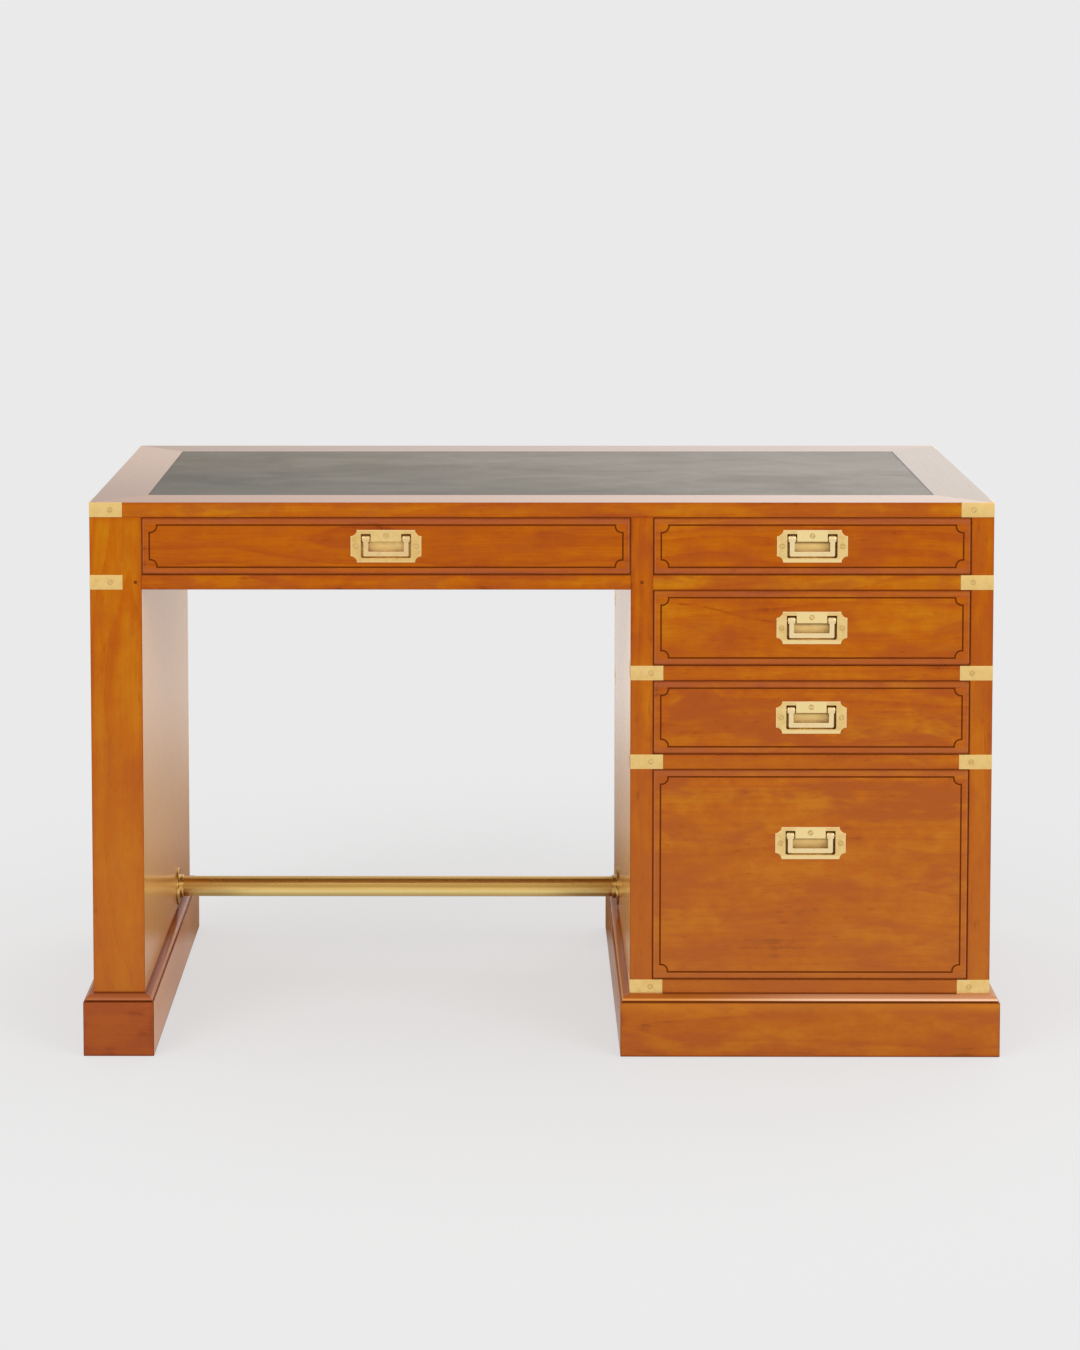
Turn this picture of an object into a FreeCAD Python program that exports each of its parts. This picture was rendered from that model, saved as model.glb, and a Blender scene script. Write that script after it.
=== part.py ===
import FreeCAD, Part
import math
import os

from FreeCAD import Placement, Rotation, Vector

# Campaign desk: a slab leg, a four drawer pedestal and a kneehole drawer under one
# leather lined top. Millimetres, +Z up, front towards -Y, origin on the floor under
# the middle of the plinths.

# Overall sizes of the carcase, without the projection of the plinths
desk_height = 760.0
carcase_width = 1224.0
carcase_depth = 610.0

# Columns of the front, from left to right
leg_width = 70.5
kneehole_width = 662.5
stile_width = 30.5

# Rows of the front, from the top down: the lowest drawer takes what is left
top_thickness = 20.0
rail_height = 20.0
first_opening = 79.0
second_opening = 104.0
third_opening = 102.0

# Top
border_width = 72.0
leather_thickness = 1.5
leather_gap = 0.4
core_tongue_depth = 8.0
core_tongue_thickness = 6.0

# Solid wood and panels of the carcase
post_depth = 30.0
stile_thickness = 22.0
panel_thickness = 18.0
back_thickness = 12.0
back_tongue_depth = 6.0
back_tongue_thickness = 5.0
bottom_panel_thickness = 8.0
rail_depth = 45.0
apron_thickness = 22.0
blocking_height = 25.0
edge_radius = 1.2

# Mortise and tenon joints of the rails
tenon_thickness = 8.0
tenon_face_margin = 7.0
tenon_shoulder = 3.0
long_tenon_share = 0.62
stub_tenon_share = 0.30
peg_radius = 2.4
peg_length = 18.0
leg_peg_share = 0.45

# Plinth with a small ovolo on its upper edge
plinth_projection = 13.0
plinth_ledge = 11.0
plinth_board_height = 75.0
moulding_height = 8.5
moulding_fillet = 1.5
moulding_quirk = 2.4
moulding_foot = 1.0
moulding_bulge = 1.6
plinth_arris = 1.2

# Foot rail, its flanges and their screws
foot_rail_radius = 15.0
foot_rail_wall = 1.5
foot_rail_setback = 435.0
foot_rail_play = 0.15
flange_radius = 27.5
flange_thickness = 2.5
flange_floor_gap = 4.0
collar_length = 9.0
collar_wall = 2.0
flange_screw_count = 3
flange_screw_share = 0.80

# Corner straps, let into the wood
strap_length = 44.5
strap_thickness = 1.6
strap_proud = 0.2
strap_screw_share = 0.63

# Slotted countersunk screws
screw_head_radius = 3.4
screw_head_depth = 1.4
screw_shank_radius = 1.4
screw_shank_length = 11.0
screw_slot_width = 0.9
screw_slot_depth = 0.6
slot_turn = 37.0

# Drawer fronts and their string inlay
front_thickness = 20.0
front_gap = 1.6
front_edge_radius = 1.4
string_inset = 8.0
string_width = 2.2
string_depth = 0.8
string_shoulder = 2.6
string_notch_radius = 7.6

# Drawer boxes, runners and stops
side_thickness = 12.0
side_clearance = 1.5
side_drop = 12.0
drawer_rear_space = 38.0
running_clearance = 0.3
drawer_back_thickness = 12.0
drawer_back_drop = 6.0
drawer_bottom_thickness = 5.0
drawer_bottom_rise = 8.0
drawer_bottom_housing = 5.0
tail_length_share = 0.60
tail_pitch = 30.0
tail_root_share = 0.42
tail_end_share = 0.62
runner_ledge = 14.0
guide_height = 12.0
stop_height = 15.0
stop_length = 15.0
stop_gap = 0.5

# Recessed drawer handle: casting, bail, pins and screws
recess_width = 67.8
recess_height = 32.8
plate_side_margin = 14.1
plate_top_margin = 5.6
plate_bottom_margin = 6.1
plate_thickness = 2.5
plate_proud = 0.6
plate_scoop_radius = 8.5
pan_wall = 2.0
tab_height = 10.4
knuckle_width = 10.4
knuckle_radius = 5.5
knuckle_flat_depth = 4.6
knuckle_side_clearance = 1.4
knuckle_top_clearance = 1.8
knuckle_back_clearance = 1.9
bail_arm_width = 6.9
bail_bar_height = 6.9
bail_thickness = 5.0
bail_sink = 0.2
bail_bottom_clearance = 2.0
bail_corner_radius = 2.2
pin_radius = 1.5
pin_fit = 0.08
pin_seat = 4.0
file_handle_drop = 102.0

# One overrun serves every cut that runs out of a face, one hair every comparison
overrun = 5.0
hair = 0.01

# Places worked out from the sizes above
left_x = -carcase_width / 2
right_x = carcase_width / 2
front_y = -carcase_depth / 2
rear_y = carcase_depth / 2
under_top_z = desk_height - top_thickness
base_z = plinth_board_height
plinth_top_z = plinth_board_height + moulding_height

leg_x = (left_x, left_x + leg_width)
kneehole_x = (leg_x[1], leg_x[1] + kneehole_width)
inner_stile_x = (kneehole_x[1], kneehole_x[1] + stile_width)
outer_stile_x = (right_x - stile_width, right_x)
pedestal_opening_x = (inner_stile_x[1], outer_stile_x[0])
pedestal_inside_x = (inner_stile_x[0] + panel_thickness, right_x - panel_thickness)

first_z = (under_top_z - first_opening, under_top_z)
first_rail_z = (first_z[0] - rail_height, first_z[0])
second_z = (first_rail_z[0] - second_opening, first_rail_z[0])
second_rail_z = (second_z[0] - rail_height, second_z[0])
third_z = (second_rail_z[0] - third_opening, second_rail_z[0])
third_rail_z = (third_z[0] - rail_height, third_z[0])
bottom_rail_z = (base_z, plinth_top_z + rail_height)
file_z = (bottom_rail_z[1], third_rail_z[0])
carcase_z = (base_z, under_top_z)

rail_back_y = front_y + rail_depth
back_panel_y = (rear_y - back_thickness, rear_y)
apron_y = (rear_y - apron_thickness, rear_y)
panel_y = (front_y + stile_thickness, rear_y - stile_thickness)
leg_panel_y = (front_y + post_depth, rear_y - post_depth)
tenon_y = (front_y + tenon_face_margin, front_y + tenon_face_margin + tenon_thickness)
long_tenon = stile_width * long_tenon_share
stub_tenon = stile_width * stub_tenon_share

drawer_rear_y = rear_y - back_thickness - drawer_rear_space
front_back_y = front_y + front_thickness
foot_rail_y = front_y + foot_rail_setback
foot_rail_z = plinth_top_z + flange_floor_gap + flange_radius

slot_width = knuckle_width + 2 * knuckle_side_clearance
knuckle_x = recess_width / 2 - slot_width / 2
pin_drop = knuckle_radius + knuckle_top_clearance
pan_depth = knuckle_flat_depth + knuckle_radius + knuckle_back_clearance


def block(x, y, z):
    """Box between the low and high values of three pairs."""
    return Part.makeBox(x[1] - x[0], y[1] - y[0], z[1] - z[0], Vector(x[0], y[0], z[0]))


def span(a, b):
    """Pair of two places, the lower one first."""
    return (min(a, b), max(a, b))


def around(middle, half):
    """Pair that reaches the same way to both sides of a place."""
    return (middle - half, middle + half)


def eased(solid, radius, chosen):
    """Solid with the edges rounded that the chosen function picks by their middle."""
    edges = [edge for edge in solid.Edges if chosen(edge.CenterOfMass)]
    return solid.makeFillet(radius, edges)


def at(place, level):
    """True where a place lies on a level, within a hair."""
    return math.isclose(place, level, abs_tol=hair)


def let_in(piece, fittings):
    """Piece with a housing for each fitting that reaches into it."""
    near = [fitting for fitting in fittings if piece.BoundBox.intersect(fitting.BoundBox)]
    return piece.cut(near) if near else piece


# Top

def top_footprint():
    """Board as large as the top, with its corners and upper edges eased."""
    board = block((left_x, right_x), (front_y, rear_y), (under_top_z, desk_height))
    corner = lambda c: at(abs(c.x), right_x) and at(abs(c.y), rear_y)
    board = eased(board, edge_radius, corner)
    return eased(board, edge_radius, lambda c: at(c.z, desk_height))


def core_tongue():
    """Tongue that stands out of the core on all four sides."""
    inner_x = right_x - border_width + core_tongue_depth
    inner_y = rear_y - border_width + core_tongue_depth
    middle = under_top_z + (top_thickness - leather_thickness) / 2
    return block((-inner_x, inner_x), (-inner_y, inner_y), around(middle, core_tongue_thickness / 2))


def top_core_panel():
    inner_x = right_x - border_width
    inner_y = rear_y - border_width
    core = block((-inner_x, inner_x), (-inner_y, inner_y), (under_top_z, desk_height - leather_thickness))
    return core.fuse(core_tongue()).removeSplitter()


def top_border(side):
    """One mitred length of the border; side is the outward direction."""
    outer = {"x": right_x, "y": rear_y}
    along, across = ("y", "x") if side.x else ("x", "y")
    sign = side.x + side.y
    ends = [(-outer[along], outer[across]), (outer[along], outer[across]),
            (outer[along] - border_width, outer[across] - border_width),
            (-outer[along] + border_width, outer[across] - border_width)]
    if along == "x":
        points = [Vector(a, sign * b, under_top_z) for a, b in ends]
    else:
        points = [Vector(sign * b, a, under_top_z) for a, b in ends]
    face = Part.Face(Part.makePolygon(points + points[:1]))
    length = face.extrude(Vector(0, 0, top_thickness))
    return length.common(top_footprint()).cut(core_tongue())


def leather_inset():
    inner_x = right_x - border_width - leather_gap
    inner_y = rear_y - border_width - leather_gap
    return block((-inner_x, inner_x), (-inner_y, inner_y), (desk_height - leather_thickness, desk_height))


# Slab leg

def leg_post(inward):
    """Front or rear post of the slab leg; inward is +1 at the front and -1 at the rear."""
    face = -inward * rear_y
    post = block(leg_x, span(face, face + inward * post_depth), carcase_z)
    return eased(post, edge_radius, lambda c: at(c.y, face) and at(c.z, sum(carcase_z) / 2))


def left_leg_outer_panel():
    return block((leg_x[0], leg_x[0] + panel_thickness), leg_panel_y, carcase_z)


def left_leg_inner_panel():
    return block((leg_x[1] - panel_thickness, leg_x[1]), leg_panel_y, carcase_z)


def left_leg_blocking():
    """Battens between the two panels at the foot, the middle and the head."""
    inside = (leg_x[0] + panel_thickness, leg_x[1] - panel_thickness)
    middle = sum(carcase_z) / 2
    levels = [(base_z, base_z + blocking_height), around(middle, blocking_height / 2),
              (under_top_z - blocking_height, under_top_z)]
    return [block(inside, leg_panel_y, level) for level in levels]


# Plinths

def plinth_profile():
    """Section of a plinth board: distance in from its outer face, and height."""
    foot = (moulding_quirk, plinth_board_height + moulding_foot)
    head = (plinth_projection - moulding_fillet, plinth_top_z)
    middle = ((foot[0] + head[0]) / 2 - moulding_bulge * (head[1] - foot[1]) / (head[0] - foot[0]),
              (foot[1] + head[1]) / 2 + moulding_bulge)
    turn = plinth_arris * (1 - math.sqrt(2) / 2)
    arris = [(0, plinth_board_height - plinth_arris), (turn, plinth_board_height - turn),
             (plinth_arris, plinth_board_height)]
    inside = plinth_projection + plinth_ledge
    straight_end = [head, (plinth_projection, plinth_top_z), (plinth_projection, plinth_board_height),
                    (inside, plinth_board_height), (inside, 0), (0, 0), arris[0]]
    return arris, foot, middle, head, straight_end


def plinth_board(corner, next_corner):
    """Board with its outer foot on the line between two corners, mitred at both ends."""
    along = (next_corner - corner).normalize()
    inward = Vector(0, 0, 1).cross(along)
    place = lambda p: corner + inward * p[0] + Vector(0, 0, p[1])
    arris, foot, middle, head, straight_end = plinth_profile()
    outline = [Part.Arc(*[place(p) for p in arris]).toShape()]
    quirk = [arris[2], (moulding_quirk, plinth_board_height), foot]
    for a, b in zip(quirk, quirk[1:]):
        outline.append(Part.makeLine(place(a), place(b)))
    outline.append(Part.Arc(place(foot), place(middle), place(head)).toShape())
    for a, b in zip(straight_end, straight_end[1:]):
        outline.append(Part.makeLine(place(a), place(b)))
    length = (next_corner - corner).Length
    bar = Part.Face(Part.Wire(outline)).extrude(along * length)
    depth = plinth_projection + plinth_ledge
    points = [corner, next_corner, next_corner + (inward - along) * depth,
              corner + (inward + along) * depth]
    mitre = Part.Face(Part.makePolygon(points + points[:1])).extrude(Vector(0, 0, plinth_top_z))
    return bar.common(mitre)


def plinth(x):
    """Ring of four mitred boards round the foot of a leg or pedestal."""
    low_x, high_x = x[0] - plinth_projection, x[1] + plinth_projection
    low_y, high_y = front_y - plinth_projection, rear_y + plinth_projection
    corners = [Vector(low_x, low_y, 0), Vector(high_x, low_y, 0),
               Vector(high_x, high_y, 0), Vector(low_x, high_y, 0)]
    ring = [plinth_board(a, b) for a, b in zip(corners, corners[1:] + corners[:1])]
    room = block((low_x, high_x), (low_y, high_y), (0, plinth_top_z))
    upright = lambda c: at(c.z, plinth_top_z / 2)
    room = eased(room, plinth_arris, upright)
    return [board.common(room) for board in ring]


# Kneehole

def tenoned_rail(x, y, z, tenon_depth, tenon_across):
    """Rail between two uprights, with a tenon of the given depth at both ends."""
    rail = block(x, y, z)
    tongue = block((x[0] - tenon_depth, x[1] + tenon_depth), tenon_across,
                   (z[0] + tenon_shoulder, z[1] - tenon_shoulder))
    return rail.fuse(tongue).removeSplitter()


def kneehole_front_rail():
    rail = tenoned_rail(kneehole_x, (front_y, rail_back_y), first_rail_z, long_tenon, tenon_y)
    return eased(rail, edge_radius, lambda c: at(c.y, front_y) and at(c.z, first_rail_z[0]))


def kneehole_rear_apron():
    z = (first_rail_z[0], under_top_z)
    tenon_across = (rear_y - tenon_face_margin - tenon_thickness, rear_y - tenon_face_margin)
    return tenoned_rail(kneehole_x, apron_y, z, long_tenon, tenon_across)


def frame_pegs():
    """Pegs that lock the tenons of the kneehole rail in the leg and the pedestal."""
    z = sum(first_rail_z) / 2
    places = [kneehole_x[0] - long_tenon * leg_peg_share, inner_stile_x[0] + stile_width / 2]
    inward = Vector(0, 1, 0)
    return [Part.makeCylinder(peg_radius, peg_length, Vector(x, front_y, z), inward) for x in places]


# Pedestal

def stile(x, outer_x, inward):
    """Upright of the pedestal; inward is +1 at the front and -1 at the rear."""
    face = -inward * rear_y
    upright = block(x, span(face, face + inward * stile_thickness), carcase_z)
    chosen = lambda c: at(c.y, face) and at(c.x, outer_x)
    return eased(upright, edge_radius, chosen)


def pedestal_inner_side():
    return block((inner_stile_x[0], pedestal_inside_x[0]), panel_y, carcase_z)


def pedestal_outer_side():
    return block((pedestal_inside_x[1], right_x), panel_y, carcase_z)


def pedestal_back_panel():
    """Panel flush with the rear stiles, tongued into both."""
    panel = block(pedestal_opening_x, back_panel_y, carcase_z)
    middle = sum(back_panel_y) / 2
    tongue_x = (pedestal_opening_x[0] - back_tongue_depth, pedestal_opening_x[1] + back_tongue_depth)
    tongue = block(tongue_x, around(middle, back_tongue_thickness / 2), carcase_z)
    return panel.fuse(tongue).removeSplitter()


def pedestal_bottom_panel():
    z = (base_z, base_z + bottom_panel_thickness)
    return block(pedestal_inside_x, (rail_back_y, rear_y - stile_thickness), z)


def pedestal_rail(z):
    return tenoned_rail(pedestal_opening_x, (front_y, rail_back_y), z, stub_tenon, tenon_y)


def drawer_rows():
    """Name, opening and handle height of each drawer."""
    pedestal = pedestal_opening_x
    return [
        ("kneehole_drawer", kneehole_x, first_z, sum(first_z) / 2),
        ("top_drawer", pedestal, first_z, sum(first_z) / 2),
        ("second_drawer", pedestal, second_z, sum(second_z) / 2),
        ("third_drawer", pedestal, third_z, sum(third_z) / 2),
        ("file_drawer", pedestal, file_z, file_z[1] - file_handle_drop),
    ]


def runner_sides(x):
    """For both sides of an opening: its edge, the wall behind it, and the way to the drawer."""
    if x == kneehole_x:
        return [(x[0], x[0], 1), (x[1], x[1], -1)]
    return [(x[0], pedestal_inside_x[0], 1), (x[1], pedestal_inside_x[1], -1)]


def drawer_runners():
    """Bearer under each drawer side, with a guide strip where the wall stands back."""
    strips = []
    for name, x, z, handle_z in drawer_rows():
        rear = apron_y[0] if x == kneehole_x else rear_y - stile_thickness
        for edge, wall, way in runner_sides(x):
            bearer_x = span(wall, edge + way * runner_ledge)
            strips.append(block(bearer_x, (rail_back_y, rear), (z[0] - rail_height, z[0])))
            if wall != edge:
                strips.append(block(span(wall, edge), (rail_back_y, rear), (z[0], z[0] + guide_height)))
    return strips


def drawer_stops():
    """Blocks on the runners that the closed drawers come up against."""
    start = drawer_rear_y + stop_gap
    blocks = []
    for name, x, z, handle_z in drawer_rows():
        for edge, wall, way in runner_sides(x):
            stop_x = span(edge, edge + way * runner_ledge)
            blocks.append(block(stop_x, (start, start + stop_length), (z[0], z[0] + stop_height)))
    return blocks


# Foot rail

def foot_rail_tube():
    outer = Part.makeCylinder(foot_rail_radius, kneehole_width,
                              Vector(kneehole_x[0], foot_rail_y, foot_rail_z), Vector(1, 0, 0))
    bore = Part.makeCylinder(foot_rail_radius - foot_rail_wall, kneehole_width,
                             Vector(kneehole_x[0], foot_rail_y, foot_rail_z), Vector(1, 0, 0))
    return outer.cut(bore)


def foot_rail_flange(x, way):
    """Round flange with a short collar that holds one end of the foot rail."""
    centre = Vector(x, foot_rail_y, foot_rail_z)
    direction = Vector(way, 0, 0)
    disc = Part.makeCylinder(flange_radius, flange_thickness, centre, direction)
    inside = foot_rail_radius + foot_rail_play
    collar = Part.makeCylinder(inside + collar_wall, collar_length, centre, direction)
    bore = Part.makeCylinder(inside, collar_length, centre, direction)
    return disc.fuse(collar).cut(bore)


def flange_screw_places(x, way):
    """Face point and outward direction of each screw of a flange."""
    reach = flange_radius * flange_screw_share
    centre = Vector(x + way * flange_thickness, foot_rail_y, foot_rail_z)
    for number in range(flange_screw_count):
        turn = 2 * math.pi * number / flange_screw_count + math.pi / 2
        yield centre + Vector(0, math.cos(turn), math.sin(turn)) * reach, Vector(way, 0, 0)


# Screws and corner straps

def screw_blank():
    """Countersunk screw without its slot, head upwards at the origin."""
    down = Vector(0, 0, -1)
    head = Part.makeCone(screw_head_radius, screw_shank_radius, screw_head_depth, Vector(0, 0, 0), down)
    shank = Part.makeCylinder(screw_shank_radius, screw_shank_length, down * screw_head_depth, down)
    return head.fuse(shank)


def screw_slot():
    return block(around(0, screw_head_radius), around(0, screw_slot_width / 2), (-screw_slot_depth, 0))


def placed(shape, point, outward, turn):
    """Copy of a shape with its head at a point, facing outward, turned about its axis."""
    copy = shape.copy()
    facing = Rotation(Vector(0, 0, 1), outward)
    copy.Placement = Placement(point, facing.multiply(Rotation(Vector(0, 0, 1), turn)))
    return copy


def screws_at(places):
    """Solid screws, and the plain forms that their holes are cut with."""
    blank = screw_blank()
    slotted = blank.cut(screw_slot())
    screws = []
    holes = []
    for number, (point, outward) in enumerate(places):
        turn = slot_turn * number
        screws.append(placed(slotted, point, outward, turn))
        holes.append(placed(blank, point, outward, turn))
    return screws, holes


def strap_corners():
    """Corner place, ways into the wood and height of each strap, by the piece it sits on."""
    top = (under_top_z, top_thickness)
    bottom = (plinth_top_z, rail_height)
    rails = [(rail_z[0], rail_height) for rail_z in (first_rail_z, second_rail_z, third_rail_z)]
    leg = []
    pedestal = []
    for y, way_y in [(front_y, 1), (rear_y, -1)]:
        for level in [top, rails[0]]:
            leg.append((left_x, y, 1, way_y, level))
        for level in [top] + rails + [bottom]:
            pedestal.append((right_x, y, -1, way_y, level))
        for level in rails[1:] + [bottom]:
            pedestal.append((inner_stile_x[0], y, 1, way_y, level))
    return leg, pedestal


def corner_strap(corner):
    """L-shaped strap round a vertical corner."""
    x, y, way_x, way_y, (low, height) = corner
    z = (low, low + height)
    outer_x = x - way_x * strap_proud
    outer_y = y - way_y * strap_proud
    inner_x = outer_x + way_x * strap_thickness
    inner_y = outer_y + way_y * strap_thickness
    front_leg = block(span(outer_x, x + way_x * strap_length), span(outer_y, inner_y), z)
    side_leg = block(span(outer_x, inner_x), span(outer_y, y + way_y * strap_length), z)
    return front_leg.fuse(side_leg).removeSplitter()


def strap_screw_places(corner):
    """Face point and outward direction of the two screws of a strap."""
    x, y, way_x, way_y, (low, height) = corner
    reach = strap_length * strap_screw_share
    z = low + height / 2
    return [
        (Vector(x + way_x * reach, y - way_y * strap_proud, z), Vector(0, -way_y, 0)),
        (Vector(x - way_x * strap_proud, y + way_y * reach, z), Vector(-way_x, 0, 0)),
    ]


# Drawers

def scooped_outline(half_width, half_height, shoulder, radius, place):
    """Closed outline of a rectangle whose corners are scooped out by quarter circles."""
    half_turn = radius * math.sqrt(2) / 2
    edges = []
    last = None
    first = None
    for sx, sz, forward in [(1, 1, True), (-1, 1, False), (-1, -1, True), (1, -1, False)]:
        far_x = half_width - radius - shoulder
        far_z = half_height - radius - shoulder
        near_x = half_width - shoulder
        near_z = half_height - shoulder
        side = [(half_width, far_z), (near_x, far_z)]
        arc_middle = (near_x - half_turn, near_z - half_turn)
        head = [(far_x, near_z), (far_x, half_height)]
        run = side + [arc_middle] + head
        run = run if forward else run[::-1]
        points = [place(sx * a, sz * b) for a, b in run]
        first = first or points[0]
        if last is not None:
            edges.append(Part.makeLine(last, points[0]))
        if shoulder > 0:
            edges.append(Part.makeLine(points[0], points[1]))
        edges.append(Part.Arc(points[1], points[2], points[3]).toShape())
        if shoulder > 0:
            edges.append(Part.makeLine(points[3], points[4]))
        last = points[4]
    edges.append(Part.makeLine(last, first))
    return Part.Wire(edges)


def string_groove(x, z):
    """Groove for the dark string that runs round a drawer front."""
    centre_x = sum(x) / 2
    centre_z = sum(z) / 2
    place = lambda a, b: Vector(centre_x + a, front_y, centre_z + b)
    half_width = (x[1] - x[0]) / 2 - string_inset
    half_height = (z[1] - z[0]) / 2 - string_inset
    outer = scooped_outline(half_width, half_height, string_shoulder, string_notch_radius, place)
    inner = scooped_outline(half_width - string_width, half_height - string_width,
                            string_shoulder - string_width, string_notch_radius + string_width, place)
    depth = Vector(0, string_depth, 0)
    return Part.Face(outer).extrude(depth).cut(Part.Face(inner).extrude(depth))


def front_span(x, z):
    """Outline of the drawer front inside its opening."""
    return (x[0] + front_gap, x[1] - front_gap), (z[0] + front_gap, z[1] - front_gap)


def box_sides(x, z):
    """Low and high places of both drawer sides across, and of their height."""
    left = (x[0] + side_clearance, x[0] + side_clearance + side_thickness)
    right = (x[1] - side_clearance - side_thickness, x[1] - side_clearance)
    return left, right, (z[0] + running_clearance, z[1] - side_drop)


def drawer_side(across, height):
    """Side with dovetail tails that reach into the drawer front."""
    board = block(across, (front_back_y, drawer_rear_y), height)
    tail_reach = front_thickness * tail_length_share
    total = height[1] - height[0]
    count = max(2, round(total / tail_pitch))
    pitch = total / count
    tails = []
    for number in range(count):
        middle = height[0] + pitch * (number + 1 / 2)
        root = pitch * tail_root_share / 2
        end = pitch * tail_end_share / 2
        points = [Vector(across[0], front_back_y, middle - root),
                  Vector(across[0], front_back_y - tail_reach, middle - end),
                  Vector(across[0], front_back_y - tail_reach, middle + end),
                  Vector(across[0], front_back_y, middle + root)]
        tail = Part.Face(Part.makePolygon(points + points[:1])).extrude(Vector(side_thickness, 0, 0))
        tails.append(tail)
    return board.fuse(tails).removeSplitter()


def drawer_bottom(x, z):
    left, right, height = box_sides(x, z)
    low = height[0] + drawer_bottom_rise
    across = (left[1] - drawer_bottom_housing, right[0] + drawer_bottom_housing)
    deep = (front_back_y - drawer_bottom_housing, drawer_rear_y)
    return block(across, deep, (low, low + drawer_bottom_thickness))


def drawer_box(x, z):
    """Two sides, the back and the bottom, each a solid of its own."""
    left, right, height = box_sides(x, z)
    bottom = drawer_bottom(x, z)
    back = block((left[1], right[0]), (drawer_rear_y - drawer_back_thickness, drawer_rear_y),
                 (bottom.BoundBox.ZMax, height[1] - drawer_back_drop))
    sides = [drawer_side(across, height).cut(bottom) for across in (left, right)]
    return sides + [back, bottom]


def drawer_front(x, z, housed):
    """Front with eased edges, the string groove and housings for what it holds."""
    front_x, front_z = front_span(x, z)
    board = block(front_x, (front_y, front_back_y), front_z)
    board = eased(board, front_edge_radius, lambda c: at(c.y, front_y))
    board = board.cut(string_groove(front_x, front_z))
    return let_in(board, housed)


# Handles

def handle_centre(x, handle_z):
    """Middle of the recess of a handle, on the plane of the drawer front."""
    return Vector(sum(x) / 2, front_y, handle_z + (plate_bottom_margin - plate_top_margin) / 2)


def casting_blank(centre):
    """Plate with scooped corners and the pan behind it, still solid."""
    half_width = recess_width / 2 + plate_side_margin
    half_height = (recess_height + plate_top_margin + plate_bottom_margin) / 2
    middle_z = centre.z + (plate_top_margin - plate_bottom_margin) / 2
    face = front_y - plate_proud
    place = lambda a, b: Vector(centre.x + a, face, middle_z + b)
    outline = scooped_outline(half_width, half_height, 0, plate_scoop_radius, place)
    plate = Part.Face(outline).extrude(Vector(0, plate_thickness, 0))
    pan = block(around(centre.x, recess_width / 2 + pan_wall), (face, face + pan_depth + pan_wall),
                around(centre.z, recess_height / 2 + pan_wall))
    return plate.fuse(pan).removeSplitter()


def casting_recess(centre):
    """U-shaped hollow round the tab that the pins are held in."""
    face = front_y - plate_proud
    deep = (face, face + pan_depth)
    top = centre.z + recess_height / 2
    hollow = block(around(centre.x, recess_width / 2), deep, around(centre.z, recess_height / 2))
    lower = lambda c: at(c.z, centre.z - recess_height / 2) and at(abs(c.x - centre.x), recess_width / 2)
    hollow = eased(hollow, bail_corner_radius, lower)
    tab = block(around(centre.x, recess_width / 2 - slot_width), deep, (top - tab_height, top))
    return hollow.cut(tab)


def pin_axis(centre):
    """Middle of the hinge line of a bail."""
    axis_y = front_y - plate_proud + knuckle_flat_depth
    return Vector(centre.x, axis_y, centre.z + recess_height / 2 - pin_drop)


def handle_pins(centre):
    """Two short pins, each through one knuckle, seated in the pan wall and in the tab."""
    axis = pin_axis(centre)
    length = pan_wall + slot_width + pin_seat
    outer = recess_width / 2 + pan_wall
    left = Part.makeCylinder(pin_radius, length, axis + Vector(-outer, 0, 0), Vector(1, 0, 0))
    right = Part.makeCylinder(pin_radius, length, axis + Vector(outer, 0, 0), Vector(-1, 0, 0))
    return [left, right]


def handle_screw_places(centre):
    """Face points of the three screws: one in the tab and one at each side."""
    face = front_y - plate_proud
    side = recess_width / 2 + plate_side_margin / 2
    top = centre.z + recess_height / 2
    middle_z = centre.z + (plate_top_margin - plate_bottom_margin) / 2
    outward = Vector(0, -1, 0)
    return [(Vector(centre.x, face, top - tab_height / 2 + plate_top_margin / 2), outward),
            (Vector(centre.x - side, face, middle_z), outward),
            (Vector(centre.x + side, face, middle_z), outward)]


def bail(centre):
    """U-shaped pull with a flat faced knuckle on each arm, bored for its pin."""
    axis = pin_axis(centre)
    face = front_y - plate_proud
    half = knuckle_x + bail_arm_width / 2
    low = centre.z - recess_height / 2 + bail_bottom_clearance
    y = (face + bail_sink, face + bail_sink + bail_thickness)
    loop = block(around(axis.x, half), y, (low, axis.z))
    corner = lambda c: at(c.z, low) and at(abs(c.x - axis.x), half)
    loop = eased(loop, bail_corner_radius, corner)
    opening = block(around(axis.x, half - bail_arm_width), y, (low + bail_bar_height, axis.z))
    pull = loop.cut(opening)
    reach = half + overrun
    front = block(around(axis.x, reach), (face - overrun, face), around(axis.z, knuckle_radius + overrun))
    for side in (-1, 1):
        start = axis + Vector(side * knuckle_x - knuckle_width / 2, 0, 0)
        barrel = Part.makeCylinder(knuckle_radius, knuckle_width, start, Vector(1, 0, 0))
        pull = pull.fuse(barrel.cut(front))
    bore = Part.makeCylinder(pin_radius + pin_fit, 2 * reach, axis - Vector(reach, 0, 0), Vector(1, 0, 0))
    return pull.cut(bore).removeSplitter()


def handle(x, handle_z):
    """Casting, bail, fixings and the solid forms that the drawer front is housed for."""
    centre = handle_centre(x, handle_z)
    screws, holes = screws_at(handle_screw_places(centre))
    pins = handle_pins(centre)
    blank = casting_blank(centre)
    casting = blank.cut([casting_recess(centre)] + pins + holes)
    return casting, bail(centre), pins + screws, [blank] + holes


# Assembly

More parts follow.
